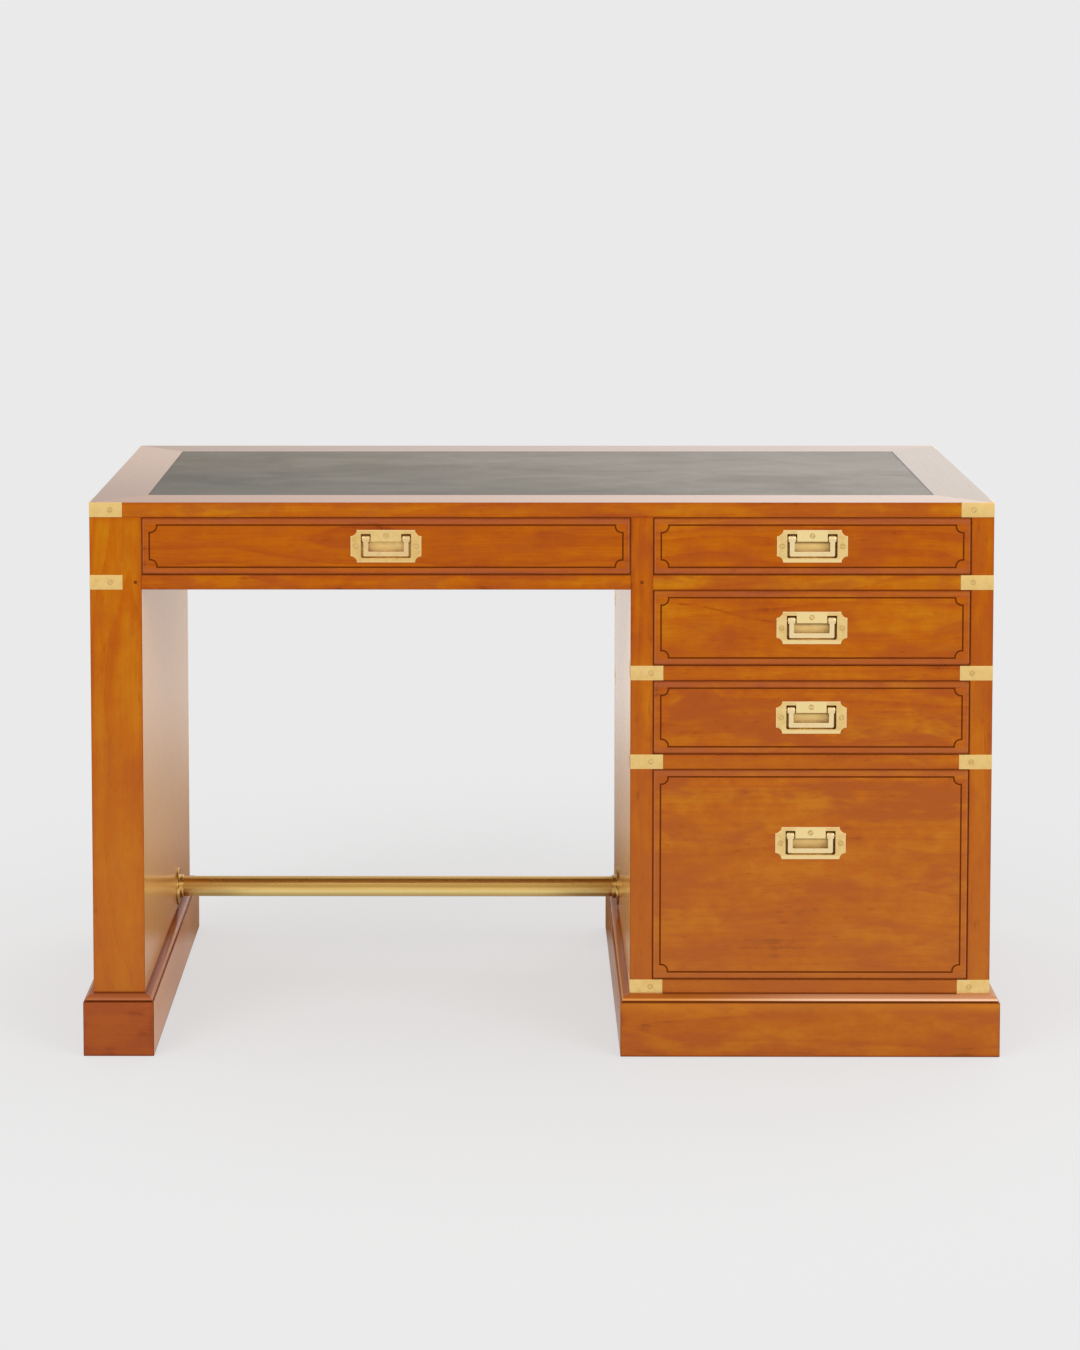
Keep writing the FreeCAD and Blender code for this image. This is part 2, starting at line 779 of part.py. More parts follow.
def fitted_straps():
    """Straps with their screw holes, the screws, and all forms that are let into the wood."""
    leg, pedestal = strap_corners()
    groups = []
    places = []
    for corners in (leg, pedestal):
        straps = [corner_strap(corner) for corner in corners]
        for corner in corners:
            places += strap_screw_places(corner)
        groups.append(straps)
    screws, holes = screws_at(places)
    drilled = [[let_in(strap, holes) for strap in straps] for straps in groups]
    return drilled[0], drilled[1], screws, groups[0] + groups[1] + holes


def carcase():
    """Every fixed piece of wood, before the straps are let in."""
    pegs = frame_pegs()
    front_rail = kneehole_front_rail()
    apron = kneehole_rear_apron()
    back = pedestal_back_panel()
    rails = {
        "rail_under_top_drawer": pedestal_rail(first_rail_z),
        "rail_under_second_drawer": pedestal_rail(second_rail_z),
        "rail_under_third_drawer": pedestal_rail(third_rail_z),
        "pedestal_bottom_rail": pedestal_rail(bottom_rail_z),
    }
    joined = [front_rail, apron, back] + list(rails.values()) + pegs
    rear_stiles = [stile(inner_stile_x, inner_stile_x[0], -1), stile(outer_stile_x, right_x, -1)]
    pieces = {
        "left_leg_front_post": let_in(leg_post(1), joined),
        "left_leg_rear_post": let_in(leg_post(-1), joined),
        "left_leg_outer_panel": left_leg_outer_panel(),
        "left_leg_inner_panel": left_leg_inner_panel(),
        "left_leg_blocking": left_leg_blocking(),
        "kneehole_front_rail": let_in(front_rail, pegs),
        "kneehole_rear_apron": apron,
        "frame_pegs": pegs,
        "pedestal_inner_stile": let_in(stile(inner_stile_x, inner_stile_x[0], 1), joined),
        "pedestal_outer_stile": let_in(stile(outer_stile_x, right_x, 1), joined),
        "pedestal_rear_stiles": [let_in(upright, joined) for upright in rear_stiles],
        "pedestal_inner_side": pedestal_inner_side(),
        "pedestal_outer_side": pedestal_outer_side(),
        "pedestal_back_panel": back,
        "pedestal_bottom_panel": pedestal_bottom_panel(),
    }
    pieces.update(rails)
    return pieces


def top():
    return {
        "top_core_panel": top_core_panel(),
        "top_border_front": top_border(Vector(0, -1, 0)),
        "top_border_rear": top_border(Vector(0, 1, 0)),
        "top_border_left": top_border(Vector(-1, 0, 0)),
        "top_border_right": top_border(Vector(1, 0, 0)),
    }


def foot_rail(walls):
    """Tube, flanges and screws, with the two walls drilled for the screws."""
    ends = [(kneehole_x[0], 1), (kneehole_x[1], -1)]
    places = []
    for x, way in ends:
        places += flange_screw_places(x, way)
    screws, holes = screws_at(places)
    flanges = [let_in(foot_rail_flange(x, way), holes) for x, way in ends]
    nodes = {name: let_in(wall, holes) for name, wall in walls.items()}
    nodes["foot_rail_tube"] = foot_rail_tube()
    nodes["foot_rail_flanges"] = flanges
    nodes["foot_rail_screws"] = screws
    return nodes


def drawer(name, x, z, handle_z):
    """The five nodes of one drawer."""
    casting, pull, fixings, housed = handle(x, handle_z)
    box = drawer_box(x, z)
    stem = name.removesuffix("_drawer")
    return {
        name + "_front": drawer_front(x, z, housed + box),
        name + "_box": box,
        stem + "_handle_plate": casting,
        stem + "_bail": pull,
        stem + "_handle_fixings": fixings,
    }


def desk():
    """Every node of the desk by name."""
    leg_straps, pedestal_straps, strap_screws, let_ins = fitted_straps()
    wood = {**top(), **carcase()}
    for name, piece in wood.items():
        if isinstance(piece, list):
            wood[name] = [let_in(solid, let_ins) for solid in piece]
        else:
            wood[name] = let_in(piece, let_ins)
    walls = {name: wood[name] for name in ("left_leg_inner_panel", "pedestal_inner_side")}
    nodes = {**wood, **foot_rail(walls)}
    nodes["leather_inset"] = leather_inset()
    nodes["left_leg_plinth"] = plinth(leg_x)
    nodes["pedestal_plinth"] = plinth((inner_stile_x[0], right_x))
    nodes["drawer_runners"] = drawer_runners()
    nodes["drawer_stops"] = drawer_stops()
    nodes["left_leg_corner_straps"] = leg_straps
    nodes["pedestal_corner_straps"] = pedestal_straps
    nodes["strap_screws"] = strap_screws
    for row in drawer_rows():
        nodes.update(drawer(*row))
    return nodes


os.makedirs("parts", exist_ok=True)
for name, piece in desk().items():
    shape = Part.makeCompound(piece) if isinstance(piece, list) else piece
    shape.exportStep("parts/" + name + ".step")
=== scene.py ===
import math

import bpy
import numpy as np
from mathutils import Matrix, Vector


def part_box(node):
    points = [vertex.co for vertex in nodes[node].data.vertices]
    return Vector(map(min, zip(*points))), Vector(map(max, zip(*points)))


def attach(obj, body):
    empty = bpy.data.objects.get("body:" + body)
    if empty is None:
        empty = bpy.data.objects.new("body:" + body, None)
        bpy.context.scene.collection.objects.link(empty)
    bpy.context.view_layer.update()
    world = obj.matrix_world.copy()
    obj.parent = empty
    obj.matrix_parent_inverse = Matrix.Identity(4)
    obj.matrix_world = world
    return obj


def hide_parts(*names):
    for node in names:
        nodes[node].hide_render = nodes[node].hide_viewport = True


# Campaign desk in lacquered cherry, with satin brass fittings and a green leather top.
# Metres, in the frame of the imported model. Boards that are plain in shape stay as they
# are and get their finish here; brass, plinths and the string are surfaces made here.

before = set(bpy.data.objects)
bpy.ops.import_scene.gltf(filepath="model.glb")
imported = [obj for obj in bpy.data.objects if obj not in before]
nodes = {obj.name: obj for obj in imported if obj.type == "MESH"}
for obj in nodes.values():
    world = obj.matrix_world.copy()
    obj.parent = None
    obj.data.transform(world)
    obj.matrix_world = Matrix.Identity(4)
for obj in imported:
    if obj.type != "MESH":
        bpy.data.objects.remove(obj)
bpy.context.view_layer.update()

mm = 0.001

# Rounding of the brass and of the plinths
plate_round = 0.45 * mm
bail_round = 0.8 * mm
knuckle_round = 1.1 * mm
strap_round = 0.3 * mm
strap_bend = 1.1 * mm
rim_round = 0.35 * mm
corner_round = 1.2 * mm
least_round = 0.1 * mm
held_edge = 0.12 * mm
round_steps = 4
sharp_from = math.radians(38)

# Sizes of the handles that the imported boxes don't give
scoop_radius = 8.5 * mm
plate_depth = 2.5 * mm
recess_half_width = 33.9 * mm
recess_height = 32.8 * mm
recess_depth = 12.0 * mm
recess_corner = 2.2 * mm
pan_wall = 2.0 * mm
plate_bottom_margin = 6.1 * mm
slot_width = 13.2 * mm
tab_height = 10.4 * mm
arm_width = 6.9 * mm
bar_height = 6.9 * mm
bail_depth = 5.0 * mm
bail_sink = 0.2 * mm
knuckle_half_width = 5.2 * mm
knuckle_radius = 5.5 * mm
knuckle_flat = 4.6 * mm
arm_steps = 6
bar_steps = 8
barrel_steps = 40
pin_radius = 1.5 * mm
pin_seat = 1.5 * mm
pin_chamfer = 0.2 * mm
pin_end_share = 0.4
pin_steps = 24

# Points along the outlines of a casting, which go together ring by ring
corner_steps = 8
run_steps = 4
slot_steps = 3
top_steps = run_steps + 2 * slot_steps
side_steps = corner_steps + run_steps

# Screws
head_radius = 3.4 * mm
head_depth = 1.4 * mm
head_dome = 0.06 * mm
head_round = 0.18 * mm
head_steps = 20
cone_waist_share = 0.7
cone_end_share = 0.4
slot_half = 0.45 * mm
slot_depth = 0.6 * mm
slot_turn = math.radians(37)
seat_width = 0.38 * mm
seat_proud = 0.03 * mm
seat_depth = 0.3 * mm
screw_steps = 32

# Straps
strap_length = 44.5 * mm
strap_thickness = 1.6 * mm
strap_proud = 0.2 * mm
strap_screw_share = 0.63
bend_steps = 6

# String inlay of the drawer fronts, and a dark strip that stands for painted shade in the gaps round them
string_inset = 8.0 * mm
string_width = 2.2 * mm
string_depth = 0.8 * mm
string_shoulder = 2.6 * mm
string_notch = 7.6 * mm
string_gap = 0.08 * mm
shadow_strip_width = 0.9 * mm
shadow_strip_set = 1.5 * mm
shadow_strip_depth = 9.0 * mm

# Plinth section
plinth_projection = 13.0 * mm
plinth_ledge = 11.0 * mm
board_height = 75.0 * mm
moulding_height = 8.5 * mm
moulding_fillet = 1.5 * mm
moulding_quirk = 2.4 * mm
moulding_overhang = 0.6 * mm
moulding_bulge = 1.6 * mm
ovolo_steps = 8
arris_steps = 4
mitre_steps = 3
quirk_height = 1.3 * mm
quirk_depth = 4.6 * mm
plinth_arris = 1.2 * mm
foot_chamfer = 0.6 * mm
foot_hold = 1.0 * mm
plinth_height = board_height + moulding_height

# Foot rail
tube_wall = 1.5 * mm
flange_thickness = 2.5 * mm
flange_lip = 0.8 * mm
lip_steps = 5
flange_clearance = 0.15 * mm
collar_length = 9.0 * mm
collar_radius = 17.15 * mm
flange_screw_share = 0.80
flange_screws = 3
turned_steps = 96

drawers = ("kneehole", "top", "second", "third", "file")


def box(node):
    """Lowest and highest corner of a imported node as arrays."""
    low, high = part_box(node)
    return np.array(low), np.array(high)


# Shapes

def arc(centre, radius, start, stop, steps=corner_steps):
    """Points centre + radius (cos t, sin t) for t in even steps from start to stop, in quarter turns."""
    turn = np.linspace(start, stop, steps + 1) * math.pi / 2
    return np.asarray(centre) + radius * np.stack([np.cos(turn), np.sin(turn)], 1)


def line(first, last, steps=1):
    """Points that divide the way from first to last evenly, without the last one."""
    share = np.arange(steps)[:, None] / steps
    return np.asarray(first) + share * (np.asarray(last) - np.asarray(first))


def area(outline):
    """Signed area of a closed outline: half the sum of the cross products of its sides."""
    ahead = np.roll(outline, -1, 0)
    return (outline[:, 0] * ahead[:, 1] - outline[:, 1] * ahead[:, 0]).sum() / 2


def inset(outline, distance):
    """Outline moved inwards by a distance: each point goes along the mitre of its two sides."""
    side = np.roll(outline, -1, 0) - outline
    side /= np.linalg.norm(side, axis=1, keepdims=True)
    inward = np.stack([-side[:, 1], side[:, 0]], 1) * np.sign(area(outline))
    before = np.roll(inward, 1, 0)
    mitre = (inward + before) / (1 + (inward * before).sum(1, keepdims=True))
    return outline + mitre * distance


def rounded_steps(radius, depth):
    """Inset and depth of the rings of a plate whose two rims are quarter rounds."""
    front = arc((radius, radius), radius, 3, 2, round_steps)
    back = arc((radius, depth - radius), radius, 2, 1, round_steps)
    held = radius + held_edge
    return np.concatenate([[[held, 0]], front, back, [[held, depth]]])


def stack(outline, steps):
    """Rings of an outline at each inset and depth, as an array of rings by points by three."""
    return np.stack([np.column_stack([inset(outline, a), np.full(len(outline), b)]) for a, b in steps])


def plate(outline, depth, radius):
    """Rings of a plate with the given outline and depth and quarter round rims."""
    return stack(outline, rounded_steps(radius, depth))


def turned(profile, steps=turned_steps):
    """Rings (r cos t, r sin t, h) for t over a full turn, one for each radius r and height h."""
    turn = np.arange(steps) * 2 * math.pi / steps
    radius, height = np.asarray(profile, float).T
    return np.stack([np.outer(radius, np.cos(turn)), np.outer(radius, np.sin(turn)),
                     np.outer(height, np.ones(steps))], 2)


# Axes of a piece that looks to the front: across, up and outward
to_front = ((1, 0, 0), (0, 0, 1), (0, -1, 0))


def to_side(way):
    """Axes of a piece that lies along X and looks to the right for 1, to the left for -1."""
    return (0, 1, 0), (0, 0, 1), (way, 0, 0)


def set_at(rings, origin, across, up, outward):
    """Rings whose first axis runs across, whose second runs up and whose depth runs against outward."""
    axes = np.array([across, up, -np.asarray(outward, float)])
    return np.asarray(origin) + rings @ axes


def ring_faces(count, points, closed=False):
    """Quads between neighbouring rings, and a face over each end unless the stack is closed."""
    ring = np.arange(count if closed else count - 1)[:, None]
    point = np.arange(points)[None, :]
    nxt = (ring + 1) % count
    ahead = (point + 1) % points
    corners = [ring * points + point, ring * points + ahead, nxt * points + ahead, nxt * points + point]
    faces = np.stack(corners, 2).reshape(-1, 4).tolist()
    if not closed:
        faces.append(np.arange(points)[::-1].tolist())
        faces.append((np.arange(points) + (count - 1) * points).tolist())
    return faces


def volume(points, faces):
    """Signed volume: a sixth of the sum of a . (b x c) over the triangles of each face's fan."""
    total = 0.0
    by_size = {}
    for face in faces:
        by_size.setdefault(len(face), []).append(face)
    for group in by_size.values():
        corner = points[np.array(group)]
        fan = np.cross(corner[:, 1:-1], corner[:, 2:])
        total += (corner[:, :1] * fan).sum() / 6
    return total


def solid(rings, closed=False):
    """Points and outward faces of one stack of rings."""
    count, points = rings.shape[:2]
    flat = rings.reshape(-1, 3)
    faces = ring_faces(count, points, closed)
    if volume(flat, faces) < 0:
        faces = [face[::-1] for face in faces]
    return flat, faces


def piece(name, solids, body, material, stands_for=None):
    """Smooth shaded object from a list of points and faces, riding on a body."""
    points = np.concatenate([part[0] for part in solids])
    faces = []
    first = 0
    for flat, own in solids:
        faces += [[corner + first for corner in face] for face in own]
        first += len(flat)
    mesh = bpy.data.meshes.new(name)
    mesh.from_pydata(points.tolist(), [], faces)
    mesh.shade_smooth()
    mesh.set_sharp_from_angle(angle=sharp_from)
    mesh.update()
    made = bpy.data.objects.new(name, mesh)
    bpy.context.scene.collection.objects.link(made)
    mesh.materials.append(material)
    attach(made, body)
    if stands_for:
        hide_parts(stands_for)


# Node trees

class Wires:
    """Short calls that add shader nodes to one tree and return the wanted output."""

    def __init__(self, tree):
        self.tree = tree

    def put(self, node, values):
        """Links outputs to a node's inputs and sets its other values; a colour gets its alpha here."""
        for key, value in values.items():
            socket = node.inputs[key]
            if isinstance(value, bpy.types.NodeSocket):
                self.tree.links.new(value, socket)
            elif socket.type == "RGBA":
                socket.default_value = (*value, 1)
            else:
                socket.default_value = value

    def add(self, kind, output, inputs, **settings):
        """Adds a node with its settings and its inputs, and gives one of its outputs."""
        node = self.tree.nodes.new("ShaderNode" + kind)
        for name, value in settings.items():
            setattr(node, name, value)
        self.put(node, inputs)
        return node.outputs[output]

    def effect(self, name, inputs):
        """Outputs of a shared effect placed in this tree with its own values."""
        return self.add("Group", 0, inputs, node_tree=bpy.data.node_groups[name]).node.outputs

    def math(self, operation, *terms):
        return self.add("Math", 0, dict(enumerate(terms)), operation=operation)

    def chain(self, operation, first, *others):
        """One operation carried on through all the terms."""
        for other in others:
            first = self.math(operation, first, other)
        return first

    def times(self, *terms):
        return self.chain("MULTIPLY", *terms)

    def plus(self, *terms):
        return self.chain("ADD", *terms)

    def most(self, *terms):
        return self.chain("MAXIMUM", *terms)

    def minus(self, first, second):
        return self.math("SUBTRACT", first, second)

    def apart(self, first, second):
        """How far two values lie apart."""
        return self.math("ABSOLUTE", self.minus(first, second))

    def scaled(self, value, factor, base):
        """Value times factor plus base."""
        return self.math("MULTIPLY_ADD", value, factor, base)

    def swing(self, base, noise, width):
        """Base moved up and down by a noise about its middle."""
        return self.scaled(noise, width, self.minus(base, width / 2))

    def vector(self, operation, *terms):
        return self.add("VectorMath", "Vector", dict(enumerate(terms)), operation=operation)

    def measure(self, operation, *terms):
        """One number from vectors: a length or a dot product."""
        return self.add("VectorMath", "Value", dict(enumerate(terms)), operation=operation)

    def stretched(self, vector, scale):
        """Vector with each part times its own scale."""
        return self.vector("MULTIPLY", vector, scale)

    def split(self, vector):
        """The three parts of a vector."""
        return self.add("SeparateXYZ", 0, {0: vector}).node.outputs

    def join(self, x, y, z):
        return self.add("CombineXYZ", 0, {0: x, 1: y, 2: z})

    def mix(self, share, first, second, how="MIX"):
        return self.add("Mix", 2, {0: share, 6: first, 7: second}, data_type="RGBA", blend_type=how,
                        clamp_factor=True)

    def fade(self, value, start, stop, low=0.0, high=1.0):
        """Smooth step from low at start to high at stop."""
        inputs = {"Value": value, "From Min": start, "From Max": stop, "To Min": low, "To Max": high}
        return self.add("MapRange", 0, inputs, interpolation_type="SMOOTHSTEP")

    def band(self, value, rise, fall):
        """Product of two fades of one value, each given by its start, stop, low and high."""
        return self.times(self.fade(value, *rise), self.fade(value, *fall))

    def noise(self, point, scale, detail=3.0, roughness=0.5, distortion=0.0, output="Fac"):
        """Noise with one scale, or with a scale for each axis."""
        if isinstance(scale, tuple):
            point = self.stretched(point, scale)
            scale = 1.0
        inputs = {"Vector": point, "Scale": scale, "Detail": detail, "Roughness": roughness,
                  "Distortion": distortion}
        return self.add("TexNoise", output, inputs)

    def ramp(self, value, stops):
        """Colour ramp through pairs of place and colour."""
        output = self.add("ValToRGB", "Color", {0: value})
        band = output.node.color_ramp
        while len(band.elements) < len(stops):
            band.elements.new(1.0)
        for element, (place, colour) in zip(band.elements, stops):
            element.position = place
            element.color = (*colour, 1)
        return output


def new_effect(name, takes, gives):
    """Empty node group with named inputs and outputs: its wires, what comes in and the node that gives."""
    tree = bpy.data.node_groups.new(name, "ShaderNodeTree")
    for key, kind in takes.items():
        tree.interface.new_socket(name=key, in_out="INPUT", socket_type="NodeSocket" + kind)
    for key in gives:
        tree.interface.new_socket(name=key, in_out="OUTPUT", socket_type="NodeSocketFloat")
    source = tree.nodes.new("NodeGroupInput")
    sink = tree.nodes.new("NodeGroupOutput")
    return Wires(tree), source.outputs, sink


def board_grain():
    """Solid grain of a board with its length along X.

    Rings lie round a pith that runs beside the board: their phase is the distance to it over
    the ring width, bent by slow noise. Fibres and pores are noise drawn out along X. Cloud and
    blush are slow noises drawn out a little, for lighter and for redder patches, mottle is a
    rounder noise of about 20 mm, and flecks are the peaks of a short streaked noise. Scales
    are counted per metre, first along the board and then across it.
    """
    takes = {"Vector": "Vector", "Seed": "Float", "Pith": "Vector", "Ring width": "Float"}
    gives = ("Cloud", "Blush", "Rings", "Fibre", "Pores", "Mottle", "Flecks")
    wires, source, sink = new_effect("board_grain", takes, gives)
    shift = wires.join(*[wires.times(source["Seed"], step) for step in (3.17, 1.73, 2.41)])
    point = wires.vector("ADD", source["Vector"], shift)
    sway = wires.vector("SUBTRACT", wires.noise(point, (2.0, 5.0, 5.0), 2.0, output="Color"), (0.5, 0.5, 0.5))
    swayed = wires.vector("ADD", point, wires.stretched(sway, (0.0, 0.035, 0.035)))
    blush = wires.noise(swayed, (11.0, 34.0, 34.0), 3.0, 0.6, 0.3)
    flecks = wires.noise(point, (36.0, 150.0, 150.0), 2.0)
    from_pith = wires.vector("SUBTRACT", wires.vector("SUBTRACT", swayed, shift), source["Pith"])
    radius = wires.measure("LENGTH", wires.stretched(from_pith, (0.035, 1.0, 1.0)))
    uneven = wires.noise(point, (3.0, 30.0, 30.0), 2.0)
    phase = wires.plus(wires.math("DIVIDE", radius, source["Ring width"]), wires.times(uneven, 1.3))
    pore = wires.noise(swayed, (70.0, 2100.0, 2100.0), 1.0)
    wires.put(sink, {
        "Cloud": wires.noise(swayed, (5.5, 19.0, 19.0), 4.0, 0.58),
        "Blush": wires.fade(blush, 0.42, 0.66),
        "Rings": wires.band(wires.math("FRACT", phase), (0.45, 0.93), (1.0, 0.95)),
        "Fibre": wires.noise(swayed, (9.0, 420.0, 420.0), 4.0, 0.62),
        "Pores": wires.fade(pore, 0.62, 0.78),
        "Mottle": wires.noise(swayed, (44.0, 52.0, 52.0), 3.0, 0.6, 0.4),
        "Flecks": wires.fade(flecks, 0.64, 0.76),
    })


def board_edge():
    """Distance from a point on a box to the box's nearest edge.

    It is the middle one of the three distances to the faces, because the least is nothing on
    the surface: max(min(a, b), min(max(a, b), c)).
    """
    takes = {"Vector": "Vector", "Centre": "Vector", "Half size": "Vector"}
    wires, source, sink = new_effect("board_edge", takes, ("Distance",))
    off = wires.vector("ABSOLUTE", wires.vector("SUBTRACT", source["Vector"], source["Centre"]))
    left = wires.split(wires.vector("SUBTRACT", source["Half size"], off))
    low = wires.math("MINIMUM", left[0], left[1])
    high = wires.most(left[0], left[1])
    wires.put(sink, {"Distance": wires.most(low, wires.math("MINIMUM", high, left[2]))})


def hand_polish():
    """Marks of polishing on brass: cloudy tarnish, crossed hairlines and small pits."""
    wires, source, sink = new_effect("hand_polish", {"Vector": "Vector"}, ("Tarnish", "Hairlines", "Pits"))
    point = source["Vector"]
    strokes = []
    for turn in (0.35, -0.5, 1.2):
        spun = wires.add("Mapping", 0, {"Vector": point, "Rotation": (turn, turn * 0.6, turn * 1.3)})
        strokes.append(wires.noise(spun, (90.0, 3800.0, 3800.0), 1.0))
    wires.put(sink, {
        "Tarnish": wires.noise(point, 95.0, 5.0, 0.6, 0.4),
        "Hairlines": wires.fade(wires.most(*strokes), 0.66, 0.8),
        "Pits": wires.fade(wires.noise(point, 1500.0, 1.0), 0.72, 0.8),
    })


# Finishes

grain_turn = {"x": (0, 0, 0), "y": (0, 0, math.pi / 2), "z": (0, -math.pi / 2, 0)}


class Finish:
    """A material in the making: its wires, its shader, the point on the object and the colour so far."""

    def __init__(self, name):
        self.material = bpy.data.materials.new(name)
        self.material.use_nodes = True
        self.wires = Wires(self.material.node_tree)
        self.shader = self.material.node_tree.nodes["Principled BSDF"]
        self.point = self.wires.add("TexCoord", "Object", {})
        self.x, self.y, self.z = self.wires.split(self.point)
        self.colour = None

    def lay(self, share, colour, how="MIX"):
        """Lays a colour over the one so far, as thickly as its share says."""
        self.colour = self.wires.mix(share, self.colour, colour, how)

    def facing(self):
        """Nothing where the surface is seen straight on, rising to one at a flat angle."""
        return self.wires.add("LayerWeight", "Facing", {"Blend": 0.5})

    def edge_distance(self, low, high):
        """Distance to the nearest edge of a box."""
        values = {"Vector": self.point, "Centre": (low + high) / 2, "Half size": (high - low) / 2}
        return self.wires.effect("board_edge", values)["Distance"]

    def grain_along(self, along, centre, seed, pith, ring_width):
        """Outputs of the shared grain, centred on a board and turned along its length."""
        turned_point = {"Vector": self.point, "Location": centre, "Rotation": grain_turn[along]}
        board = self.wires.add("Mapping", 0, turned_point, vector_type="TEXTURE")
        values = {"Vector": board, "Seed": seed, "Pith": pith, "Ring width": ring_width}
        return self.wires.effect("board_grain", values)

    def close(self, roughness, bump=None, constants=None):
        """Feeds the shader and gives the material; a bump has a strength, a depth and a height."""
        values = {"Base Color": self.colour, "Roughness": roughness, **(constants or {})}
        if bump:
            values["Normal"] = self.wires.add("Bump", 0, dict(zip(("Strength", "Distance", "Height"), bump)))
        self.wires.put(self.shader, values)
        return self.material


amber = (0.495, 0.168, 0.0050)
honey = (0.436, 0.104, 0.0032)
russet = (0.345, 0.064, 0.0060)
umber = (0.150, 0.024, 0.0035)
rose = (0.335, 0.062, 0.0105)
worn_rose = (0.355, 0.098, 0.0430)
low_tint = (0.430, 0.132, 0.0285)
edge_highlight_pink = (0.760, 0.380, 0.2000)
vein_brown = (0.220, 0.034, 0.0040)
leg_low_tint = (0.315, 0.080, 0.0280)
moulding_shade = (0.310, 0.072, 0.0080)
leg_shade = (0.330, 0.105, 0.0350)
leg_shine = (0.480, 0.175, 0.0720)
leg_plinth_sheen = (0.920, 0.540, 0.2900)
plinth_sheen = (0.520, 0.235, 0.0800)
plinth_top_highlight = (0.620, 0.240, 0.0220)
moulding_highlight_gold = (0.760, 0.330, 0.0850)
moulding_shine = (0.960, 0.640, 0.4300)
moulding_lit_right = (0.560, 0.270, 0.1400)
side_sheen = (0.800, 0.420, 0.1200)
warm_sheen = (0.980, 0.530, 0.1300)
top_sheen = (0.420, 0.190, 0.0900)
rear_sheen = (0.400, 0.250, 0.1750)
left_sheen = (0.330, 0.155, 0.0800)
left_rear_sheen = (0.560, 0.330, 0.2000)
right_sheen = (0.230, 0.120, 0.0350)
warm_reflection = (1.0, 0.55, 0.16)

# Looks of a lacquered board. Depth darkens all of it, drift lightens it from left to right, and
# figure, rings and flecks are the strength of its marks. One share gives how far it turns to a paler
# colour, given with it, from the top down to the floor. A painted reflection is a paler colour that
# shows at a flat angle on the side given, with another colour in its place at the rear end. On a
# drawer front, the share of a painted highlight line along its edges comes with a redder band inside
# it. The dark line along the edges is partly joints and partly painted shade in the gaps. A vein has
# two ends. Boards of the plinth's moulding get its painted light and shade. Relief is that of the
# grain, and ior that of the lacquer.
usual_looks = {
    "depth": 0.0, "drift": 0.0, "figure": 1.0, "rings": 0.17, "flecks": 0.26, "dulled": 0.60,
    "bloomed": low_tint, "washed": None, "side": None, "painted_sheen_rear": None, "eased": 0.0, "joint": 0.55,
    "vein": None, "painted_moulding": False, "relief": 0.10, "ior": 1.25,
}


class Board(Finish):
    """A board's finish in the making, with its looks, its ends, its grain and its distance to the edges."""

    def __init__(self, name, low, high, along, seed, looks):
        super().__init__(name)
        self.looks = usual_looks | looks
        self.low = low
        self.high = high
        centre = (low + high) / 2
        pith = (0, 0.09 + 0.01 * (seed % 4), -0.03 + 0.012 * (seed % 5))
        self.grain = self.grain_along(along, centre, seed, pith, (6.0 + seed % 3) * mm)
        self.edge = self.edge_distance(low, high)
        self.from_end = self.wires.minus((high[2] - low[2]) / 2, self.wires.apart(self.z, centre[2]))


def wood_tone(board):
    """Tone of the wood from dark to light: clouds, fibres, mottle and rings, darker near the edges."""
    wires, grain, looks = board.wires, board.grain, board.looks
    tone = wires.swing(0.535 - looks["depth"], grain["Cloud"], 1.20 * looks["figure"])
    tone = wires.swing(tone, grain["Fibre"], 0.50)
    tone = wires.swing(tone, grain["Mottle"], 0.55 * looks["figure"])
    tone = wires.scaled(grain["Rings"], -looks["rings"], tone)
    tone = wires.minus(tone, wires.fade(board.edge, 9 * mm, 0.0, 0.0, 0.16))
    drift = looks["drift"]
    if drift:
        tone = wires.plus(tone, wires.fade(board.x, board.low[0], board.high[0], -drift, drift))
    return tone


def lay_worn_band(board):
    """Redder band inside the edges of a drawer front, strongest along its top and bottom."""
    wires = board.wires
    level = wires.fade(board.from_end, 8.5 * mm, 6.5 * mm, 0.0, 0.48)
    upright = wires.fade(board.edge, 8.5 * mm, 6.5 * mm, 0.0, 0.15)
    patchy = wires.fade(board.grain["Cloud"], 0.62, 0.40, 0.45, 1.0)
    board.lay(wires.times(wires.most(level, upright), patchy), worn_rose)


def lay_painted_sheen(board):
    """Painted reflection: a paler colour at a flat angle on one side of the board, thinner towards the floor.
    """
    wires, looks = board.wires, board.looks
    toward = wires.measure("DOT_PRODUCT", wires.add("TexCoord", "Normal", {}), looks["side"])
    share = wires.times(wires.fade(board.facing(), 0.45, 0.85), wires.fade(board.z, 0.05, 0.30, 0.5, 1.0),
                        wires.fade(toward, 0.5, 0.8))
    pale = looks["washed"]
    if looks["painted_sheen_rear"]:
        pale = wires.mix(wires.fade(board.y, board.low[1], board.high[1]), pale, looks["painted_sheen_rear"])
    board.lay(share, pale)


def lay_dark_marks(board):
    """Dark pores and flecks, a dark line along the edges that is partly joints and partly painted shade in
    the gaps, and painted shade where a board stands on a plinth.
    """
    wires, grain, looks = board.wires, board.grain, board.looks
    dark = wires.most(wires.times(grain["Pores"], 0.35), wires.times(grain["Flecks"], looks["flecks"]),
                      wires.fade(board.edge, 1.2 * mm, 0.3 * mm, 0.0, looks["joint"]))
    if not looks["painted_moulding"]:
        # Painted shade where the board meets the moulding below it
        foot = wires.fade(board.z, plinth_height + 3.0 * mm, plinth_height + 1.9 * mm, 0.0, 0.85)
        dark = wires.most(dark, foot)
    board.lay(dark, umber)


